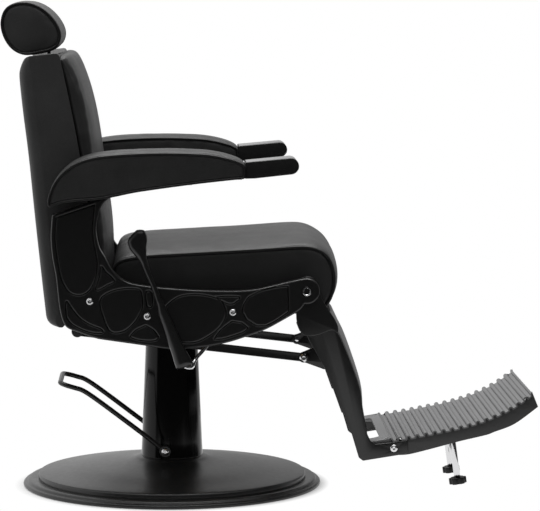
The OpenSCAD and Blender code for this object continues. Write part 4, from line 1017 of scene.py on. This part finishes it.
def inflate(piece, pins, cloth):
    # pressure inside, seams held; each point moves by less than the cap.
    frames = 20
    before = [v.co.copy() for v in piece.data.vertices]
    held = piece.vertex_groups.new(name="held")
    held.add(sorted(pins), 1.0, "REPLACE")
    modifier = piece.modifiers.new("fabric", "CLOTH")
    fabric = modifier.settings
    fabric.quality = 6
    fabric.mass = 0.25
    fabric.tension_stiffness = fabric.compression_stiffness = cloth["stiff"]
    fabric.shear_stiffness = cloth["stiff"] / 2
    fabric.bending_stiffness = cloth["bend"]
    fabric.use_pressure = True
    fabric.uniform_pressure_force = cloth["pressure"]
    fabric.vertex_group_mass = "held"
    fabric.shrink_min = cloth["slack"]
    fabric.effector_weights.gravity = 0
    modifier.collision_settings.use_collision = False
    modifier.collision_settings.use_self_collision = False
    modifier.point_cache.frame_start = 1
    modifier.point_cache.frame_end = frames
    scene = bpy.context.scene
    for step in range(1, frames + 1):
        scene.frame_set(step)
    plainMesh(piece)
    scene.frame_set(1)
    cap = cloth["cap"]
    for v, rest in zip(piece.data.vertices, before):
        move = v.co - rest
        v.co = rest + move * (cap / (cap + move.length))
    piece.vertex_groups.clear()
    return piece


def ripple(piece, spec, seed):
    # slow unevenness of the foam under the cover
    mesh = piece.data
    normals = [v.normal.copy() for v in mesh.vertices]
    for v, normal in zip(mesh.vertices, normals):
        slow = noise.noise((v.co + Vector((seed, 0, 0))) * spec["waves"])
        v.co += normal * slow * spec["depth"]
    mesh.update()


def pinch(piece, seamPoints, reach, depth):
    # draws the cover in beside a seam
    tree = KDTree(len(seamPoints))
    for i, p in enumerate(seamPoints):
        tree.insert(p, i)
    tree.balance()
    mesh = piece.data
    normals = [v.normal.copy() for v in mesh.vertices]
    for v, normal in zip(mesh.vertices, normals):
        gap = tree.find(v.co)[2]
        if gap < reach:
            share = 1 - gap / reach
            v.co -= normal * depth * share * share * (3 - 2 * share)
    mesh.update()


def subdivide(piece):
    finer = piece.modifiers.new("finer", "SUBSURF")
    finer.levels = finer.render_levels = 1
    return plainMesh(piece)


def seamTube(name, mesh, indices, radius, lift):
    # piping that follows a seam of the finished cover, standing proud of it by lift
    points = [mesh.vertices[i].co + mesh.vertices[i].normal * lift for i in indices]
    return tube(name, points, radius, closed=True, steps=2, sides=12, material=litAndShadedHides["piping"])


def padBody(name, node, spec):
    # the sewn cover of a node and its piping, one cord to a seam
    sections = cadSections(node, spec["shares"], upright, spec["counts"], skip=spec.get("skip"))
    sections = smoothRings(sections, spec["even"])
    if "reshape" in spec:
        sections = [(y, [spec["reshape"](y, p) for p in ring]) for y, ring in sections]
    piece, seams = softBody(name, sections, spec["counts"], spec["bulge"], spec.get("seamInset", 4 * mm))
    pins = set(seams[0]) | set(seams[1])
    if "holdBelow" in spec:
        pins |= {v.index for v in piece.data.vertices if v.co.z < spec["holdBelow"]}
    if "cloth" in spec:
        inflate(piece, pins, spec["cloth"])
    ripple(piece, spec["ripple"], spec["seed"])
    rim = [[piece.data.vertices[i].co.copy() for i in seam] for seam in seams]
    cords = []
    if "cord" in spec:
        cords = [seamTube(f"{name}_piping{k}", piece.data, seam, spec["cord"], spec["proud"])
                 for k, seam in enumerate(seams)]
    subdivide(piece)
    seamLine = [p for line in rim for p in smoothLine(line, 4, True)]
    pinch(piece, seamLine, spec["pinchReach"], spec["pinchDepth"])
    return piece, cords


def coverPiece(piece, cords, node, fill, hide=None):
    settle(piece, node, sharp=60, material=hide)
    if cords:
        trim = settle(joined(piece.name + "_piping", cords), body=bodyOf[node], slot="upholstery",
                      material=litAndShadedHides["piping"], sharp=60)


def spread(first, count, dense=1.6):
    # shares from -first to first, closer together towards both ends
    made = []
    for i in range(count + 1):
        t = 2 * i / count - 1
        made.append(first * math.copysign(1 - (1 - abs(t)) ** dense, t))
    return made


upright = [(-1, -1), (1, -1), (1, 1), (-1, 1)]


def makeSeat():
    low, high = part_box("seat_cushion")
    crown = dict(lower=3.5 * mm, start=40 * mm, reach=25 * mm)

    def lowerCrown(y, p):
        share = min(max((p.y - high.z + crown["start"]) / crown["reach"], 0), 1)
        return Vector((p.x, p.y - crown["lower"] * share))

    seat = dict(counts=(44, 14), shares=spread(0.983, 50), bulge=4.5 * mm, cord=3.4 * mm, proud=0.2 * mm,
                pinchReach=9 * mm, pinchDepth=2.2 * mm, seed=3.1, even=2, reshape=lowerCrown,
                ripple=dict(waves=9.0, depth=0.9 * mm), holdBelow=low.z + 4 * mm,
                cloth=dict(pressure=3.0, cap=3 * mm, slack=-0.012, stiff=25, bend=3))
    coverPiece(*padBody("seat_cushion_sewn", "seat_cushion", seat), "seat_cushion", 0.8)


def roundedTop(half, radius, drop, start, reach):
    # what lies above start comes down towards both sides, as a cover drawn over soft corners does
    def reshape(y, p):
        past = max(0.0, (abs(y) - (half - radius)) / radius)
        share = min(max((p.y - start) / reach, 0.0), 1.0)
        fall = 1 - math.sqrt(max(1 - past * past, 0))
        return Vector((p.x, p.y - drop * share * share * (3 - 2 * share) * fall))
    return reshape


def straightTop(rear, front, radius, clear, ramp, below=30 * mm):
    # beyond clear on each side the upper edge is pulled up to a line from rear to front, with a round corner
    # at the rear; between them it stays down, out of the headrest's way
    def reshape(y, p):
        share = min(max((abs(y) - clear) / ramp, 0.0), 1.0)
        along = (p.x - rear[0]) / (front[0] - rear[0])
        if p.y < rear[1] - below or along < 0 or along > 1:
            return p
        past = max(0.0, 1 - (p.x - rear[0]) / radius)
        corner = radius * (1 - math.sqrt(1 - past * past))
        lift = max(0.0, rear[1] + along * (front[1] - rear[1]) - corner - p.y)
        return Vector((p.x, p.y + share * share * (3 - 2 * share) * lift))
    return reshape


def makeBack():
    cushionHigh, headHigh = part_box("back_cushion")[1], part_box("headrest_pad")[1]
    back = dict(counts=(8, 50), shares=spread(0.985, 46), bulge=2.0 * mm, pinchReach=7 * mm,
                pinchDepth=1.5 * mm, seed=7.7, even=1, ripple=dict(waves=6.0, depth=0.5 * mm),
                reshape=roundedTop(half=cushionHigh.y, radius=90 * mm, drop=12 * mm,
                                   start=cushionHigh.z - 60 * mm, reach=55 * mm),
                cloth=dict(pressure=2.5, cap=2.5 * mm, slack=-0.01, stiff=25, bend=3))
    coverPiece(*padBody("back_cushion_sewn", "back_cushion", back), "back_cushion", 0.75, litAndShadedHides["cushion"])
    low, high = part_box("back_casing")
    edge = 28 * mm / ((high.y - low.y) / 2)
    turns = [1 - edge * (1 - math.sin(radians(a))) for a in (88, 75, 60, 45, 30, 15, 0)]
    shares = [-t for t in turns] + [(1 - edge) * (i / 17 - 1) for i in range(1, 34)] + turns[::-1]
    rear, front = (-312 * mm, 939.5 * mm), (-236 * mm, 947.5 * mm)
    shell = dict(counts=(8, 50), shares=shares, bulge=0.6 * mm, even=0, pinchReach=6 * mm,
                 pinchDepth=0.4 * mm, seed=5.2, ripple=dict(waves=6.0, depth=0.5 * mm), skip=30 * mm,
                 seamInset=5 * mm,
                 reshape=straightTop(rear, front, radius=18 * mm, clear=headHigh.y + 12 * mm, ramp=40 * mm))
    coverPiece(*padBody("back_casing_covered", "back_casing", shell), "back_casing", 0.9, litAndShadedHides["back"])


def makeArms():
    for side, seed in (("left", 1.3), ("right", 8.4)):
        node = "arm_pad_" + side
        arm = dict(counts=(44, 8), shares=spread(0.985, 18, 1.4), bulge=2.2 * mm, cord=2.6 * mm,
                   proud=0.2 * mm, pinchReach=7 * mm, pinchDepth=1.6 * mm, seed=seed, skip=26 * mm, even=1,
                   ripple=dict(waves=11.0, depth=0.6 * mm),
                   cloth=dict(pressure=2.0, cap=3 * mm, slack=-0.008, stiff=25, bend=3))
        coverPiece(*padBody(f"arm_pad_{side}_sewn", node, arm), node, 0.85, litAndShadedHides["arm"])


def makeHeadrest():
    low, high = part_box("headrest_pad")
    middle = (low.x + high.x) / 2
    wider, taller = 1.045, 1.035

    def fuller(y, p):
        return Vector((middle + (p.x - middle) * wider, low.z + (p.y - low.z) * taller))

    head = dict(reshape=fuller, counts=(14, 14), shares=spread(0.985, 32, 1.5), bulge=3.0 * mm, cord=3.0 * mm,
                proud=0.2 * mm, pinchReach=8 * mm, pinchDepth=2.0 * mm, seed=2.6, skip=36 * mm, even=2,
                ripple=dict(waves=14.0, depth=0.6 * mm),
                cloth=dict(pressure=2.5, cap=3 * mm, slack=-0.008, stiff=25, bend=3))
    coverPiece(*padBody("headrest_pad_sewn", "headrest_pad", head), "headrest_pad", 0.85, litAndShadedHides["head"])


makeSeat()
print("seat cushion ready")
makeBack()
print("back ready")
makeArms()
makeHeadrest()
print("arms and headrest ready")


def makeArmMetal():
    shoulder = dict(at=155 * mm, near=1.6 * mm, back=2 * mm)
    for side in ("right", "left"):
        bar = dress("arm_bar_" + side, 2.0 * mm, 3)
        for v in bar.data.vertices:
            if abs(v.co.x - shoulder["at"]) < shoulder["near"]:
                v.co.x -= shoulder["back"]
    dressAll(1.0 * mm, 3, "arm_tip_plates")
    dressAll(0.4 * mm, 2, "arm_screws")


makeArmMetal()


def makeLever():
    # stations up the grip in millimetres: height, X of its middle line, half width; foot is its slanted end.
    # Only the face away from the chair is made, as an open shell
    low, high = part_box("lever_grip")
    grip = dict(stations=[(327, 16.5, 17), (346, 8, 15), (364, 1, 13.5), (383, -6.5, 12.5), (408, -16.5, 11),
                          (427, -22.5, 8.5), (456, -33, 6.5), (473, -40, 6), (491, -47.5, 6.5),
                          (510, -54.5, 7.5), (522, -59, 9), (533, -64.5, 12.5), (543, -68.5, 16.5),
                          (552, -70.5, 18.5), (562, -70.5, 20), (569, -69, 18.5), (576, -66.5, 15)],
                top=[(-76.5, 581), (-72, 585), (-64, 586), (-56, 584)],
                foot=[(5.5, 306), (10, 295), (18, 295), (32.5, 300), (45, 307), (38.5, 319)],
                thickness=24 * mm, reach=13 * mm)
    left = [(x - half, z) for z, x, half in reversed(grip["stations"])]
    right = [(x + half, z) for z, x, half in grip["stations"]]
    side = left + grip["foot"] + right + grip["top"][::-1]
    outline = smoothLine([(x * mm, z * mm) for x, z in side], 3, True, 50)
    half = grip["thickness"] / 2
    handle = crownedPlate("lever_grip_moulded", [outline], 0, half, grip["reach"], half, rings=7,
                          spacing=2.4 * mm, shell=True)
    handle.data.transform(Matrix.Translation((0, (low.y + high.y) / 2, 0)))
    settle(handle, "lever_grip", sharp=60)
    dress("lever_rod", 0, material=finish["bright_chrome"], sharp=60)


makeLever()
print("arms and lever ready")


def makeLegrest():
    dressAll(1.6 * mm, 3, "leg_frame_right", "leg_frame_left")
    dressAll(0.8 * mm, 2, "leg_cross_tubes")
    dressAll(1.0 * mm, 3, "link_bars")
    dressAll(0.4 * mm, 2, "link_bolts", "foot_bolts", "prop_tubes")
    dress("calf_panel", 0, sharp=60)


def makeRails():
    rails = dict(cut=175 * mm, t=6 * mm, out=178 * mm, rounding=0.8 * mm, growth=1.0 * mm, barWidth=28 * mm,
                 barsAt=(531 * mm, 605 * mm), near=20 * mm, weld=1 * mm)
    outlines = flatLoops("foot_rails", rails["cut"], corner=60, steps=2)
    outline = max(outlines, key=lambda loop: abs(area2(loop)))
    near = plate("rail", [outline], rails["out"] - rails["t"], rails["out"], rails["rounding"], 3,
                 growth=rails["growth"])
    far = mirrored(near, "railMirrored")
    half = rails["barWidth"] / 2
    reach = rails["out"] - rails["t"] + rails["weld"]
    bars = []
    bm = cadMesh("foot_rails")
    for x in rails["barsAt"]:
        rows = [p for loop in cutLoops(bm, 0.0) for p in loop if abs(p.x - x) < rails["near"]]
        top, foot = max(p.z for p in rows), min(p.z for p in rows)
        bar = blockFrom((x - half, -reach, foot), (x + half, reach, top), "crossbar")
        bars.append(softenEdges(bar, 1.0 * mm, 2))
    bm.free()
    settle(joined("foot_rails_welded", [near, far] + bars), "foot_rails", sharp=40)


def makeTread():
    pivot = Vector((281 * mm, 0, 454 * mm))
    tread = dict(line=[(186, -333), (239, -325), (292, -315), (345, -304), (396, -288), (445, -265),
                       (489, -235)], ribs=17, ribHeight=6 * mm, thickness=3 * mm, width=366 * mm,
                 heel=(140, -337), half=177, tab=45, rounding=0.8 * mm, lipRound=0.6 * mm, lipFrom=9 * mm,
                 lipDown=8 * mm, lipWide=5 * mm,
                 cut=165, corner=14, hole=(178, 168, 4.5))
    points = [pivot + Vector((x * mm, 0, z * mm)) for x, z in tread["line"]]
    drop = tread["thickness"] / 2
    line = smoothLine(points, 12)
    lowered = []
    for i, p in enumerate(line):
        way = (line[min(i + 1, len(line) - 1)] - line[max(i - 1, 0)]).normalized()
        lowered.append(p + Vector((way.z, 0, -way.x)) * drop)
    sheet = edgeLine("ribbed", lowered)
    grow(sheet, ribbedSheet, Ribs=tread["ribs"], Width=tread["width"], Thickness=tread["thickness"],
         Material=finish["tread_metal"], **{"Rib height": tread["ribHeight"]})
    back, front = pivot.x + tread["heel"][0] * mm, points[0].x + 2.5 * mm
    half, inner, cut, corner = (tread["half"] * mm, (tread["half"] - tread["tab"]) * mm,
                                pivot.x + tread["cut"] * mm, tread["corner"] * mm)
    turn = [(cut - corner + corner * math.sin(radians(a)), inner - corner + corner * math.cos(radians(a)))
            for a in range(0, 91, 15)]
    outline = [(back, -half), (front, -half), (front, half), (back, half), (back, inner)] + turn
    outline += [(x, -y) for x, y in reversed(turn)] + [(back, -inner)]
    x, y, r = (v * mm for v in tread["hole"])
    holes = [[(pivot.x + x + r * math.cos(a), side * y + r * math.sin(a))
              for a in (2 * math.pi * k / 24 for k in range(24))] for side in (-1, 1)]
    heel = plate("heel", [outline] + holes, 0, tread["thickness"], tread["rounding"], 2, upright=False)
    low, high = pivot.z + (tread["heel"][1] - 3) * mm, points[0].z + 1 * mm
    for v in heel.data.vertices:
        v.co.z += low + (high - low) * (v.co.x - back) / (front - back)
    lipBack, lipFoot, wide = back + tread["lipFrom"], low - tread["lipDown"], tread["lipWide"]
    side = [Vector(p) for p in ((lipBack, lipFoot), (front, lipFoot), (front, high + 1 * mm),
                                (lipBack, low + 1.6 * mm))]
    lips = [plate("lip", [side], a, b, tread["lipRound"], 2)
            for a, b in ((half - wide, half), (-half, wide - half))]
    settle(joined("foot_tread_rolled", [sheet, heel] + lips), "foot_tread", sharp=40)


makeLegrest()
makeRails()
makeTread()
print("legrest ready")


def makeFeet():
    dressAll(1.0 * mm, 3, "support_foot_right", "support_foot_left")


makeFeet()
for head in (screwHead, ringHead):
    bpy.data.objects.remove(head)
print("support feet ready")

for name, node in nodes.items():
    if not node.hide_render:
        node.data.materials.clear()
        node.data.materials.append(finish[slotOf[name]])


def makeCamera():
    view = dict(place=(-0.0093, -6.1825, 1.0973), lens=189.87, sensor=36.0, tilt=84.49, turn=-2.078)
    data = bpy.data.cameras.new("camera")
    data.lens = view["lens"]
    data.sensor_width = view["sensor"]
    data.clip_end = 60
    camera = objectFrom("camera", data)
    camera.location = view["place"]
    camera.rotation_euler = (radians(view["tilt"]), 0, radians(view["turn"]))
    bpy.context.scene.camera = camera


def makeWorld():
    # what a glossy face mirrors: a dark front, a bright wall on each side and light overhead
    sky = dict(ambient=0.55, left=-0.40, right=0.42, front=0.03, onLeft=0.9, onRight=0.55, above=0.85,
               white=1.0)
    world = bpy.data.worlds.new("studio")
    bpy.context.scene.world = world
    world.use_nodes = True
    tree = world.node_tree
    tree.nodes.clear()
    around = tree.nodes.new("ShaderNodeTexCoord").outputs["Generated"]
    way = addNode(tree, "ShaderNodeSeparateXYZ", {0: around})
    flatX = product(tree, way.outputs["X"], way.outputs["X"])
    flatY = product(tree, way.outputs["Y"], way.outputs["Y"])
    reach = mathNode(tree, "SQRT", mathNode(tree, "ADD", mathNode(tree, "ADD", flatX, flatY), 1e-6))
    depth = mathNode(tree, "DIVIDE", way.outputs["Y"], reach)
    onRight = rampNode(tree, way.outputs["X"], -0.02, 0.02)
    border = rampNode(tree, onRight, 0.0, 1.0, sky["left"], sky["right"])
    past = mathNode(tree, "SUBTRACT", depth, border)
    bright = rampNode(tree, onRight, 0.0, 1.0, sky["onLeft"], sky["onRight"])
    lit = rampNode(tree, past, -0.04, 0.04, sky["front"], bright)
    overhead = rampNode(tree, way.outputs["Z"], 0.62, 0.8, 0.0, sky["above"])
    gloss = mathNode(tree, "MAXIMUM", lit, overhead)
    rays = tree.nodes.new("ShaderNodeLightPath")
    mirror = mathNode(tree, "MAXIMUM", rays.outputs["Is Glossy Ray"], rays.outputs["Is Transmission Ray"])
    ambient, room, white = (
        addNode(tree, "ShaderNodeBackground", {"Color": colour(1.0), "Strength": strength}).outputs[0]
        for strength in (sky["ambient"], gloss, sky["white"]))
    seen = addNode(tree, "ShaderNodeMixShader", {0: mirror, 1: ambient, 2: room}).outputs[0]
    isView = rays.outputs["Is Camera Ray"]
    shown = addNode(tree, "ShaderNodeMixShader", {0: isView, 1: seen, 2: white}).outputs[0]
    tree.links.new(shown, tree.nodes.new("ShaderNodeOutputWorld").inputs[0])


def makeFloor():
    floor = dict(reach=1.0, plainFrom=0.31, plainTo=0.345)
    bm = bmesh.new()
    bmesh.ops.create_grid(bm, x_segments=2, y_segments=2, size=floor["reach"])
    ground = objectFrom("floor", bm)
    ground.location.z = -0.2 * mm
    material = bpy.data.materials.new("floorWhite")
    material.use_nodes = True
    tree = material.node_tree
    tree.nodes.clear()
    far = vectorNode(tree, "LENGTH", {0: objectPlace(tree)}, "Value")
    paint = addNode(tree, "ShaderNodeBsdfDiffuse", {"Color": colour(0.9)}).outputs[0]
    glow = addNode(tree, "ShaderNodeEmission", {"Color": colour(1.0), "Strength": 1.0}).outputs[0]
    rays = tree.nodes.new("ShaderNodeLightPath")
    seen = mathNode(tree, "MAXIMUM", rays.outputs["Is Camera Ray"], rays.outputs["Is Glossy Ray"])
    share = product(tree, rampNode(tree, far, floor["plainFrom"], floor["plainTo"]), seen)
    shown = addNode(tree, "ShaderNodeMixShader", {0: share, 1: paint, 2: glow}).outputs[0]
    tree.links.new(shown, tree.nodes.new("ShaderNodeOutputMaterial").inputs[0])
    ground.data.materials.append(material)


def makeLight():
    lamp = dict(place=(0.1, 0.3, 3.2), aim=(0.1, 0, 0.4), size=(2.6, 2.2), power=120)
    data = bpy.data.lights.new("overhead", "AREA")
    data.shape = "RECTANGLE"
    data.size, data.size_y = lamp["size"]
    data.energy = lamp["power"]
    light = objectFrom("overhead", data)
    light.location = lamp["place"]
    way = Vector(lamp["aim"]) - Vector(lamp["place"])
    light.rotation_euler = way.to_track_quat("-Z", "Y").to_euler()


makeCamera()
makeWorld()
makeFloor()
makeLight()
bpy.context.scene.view_settings.view_transform = "Standard"
print("stage ready")
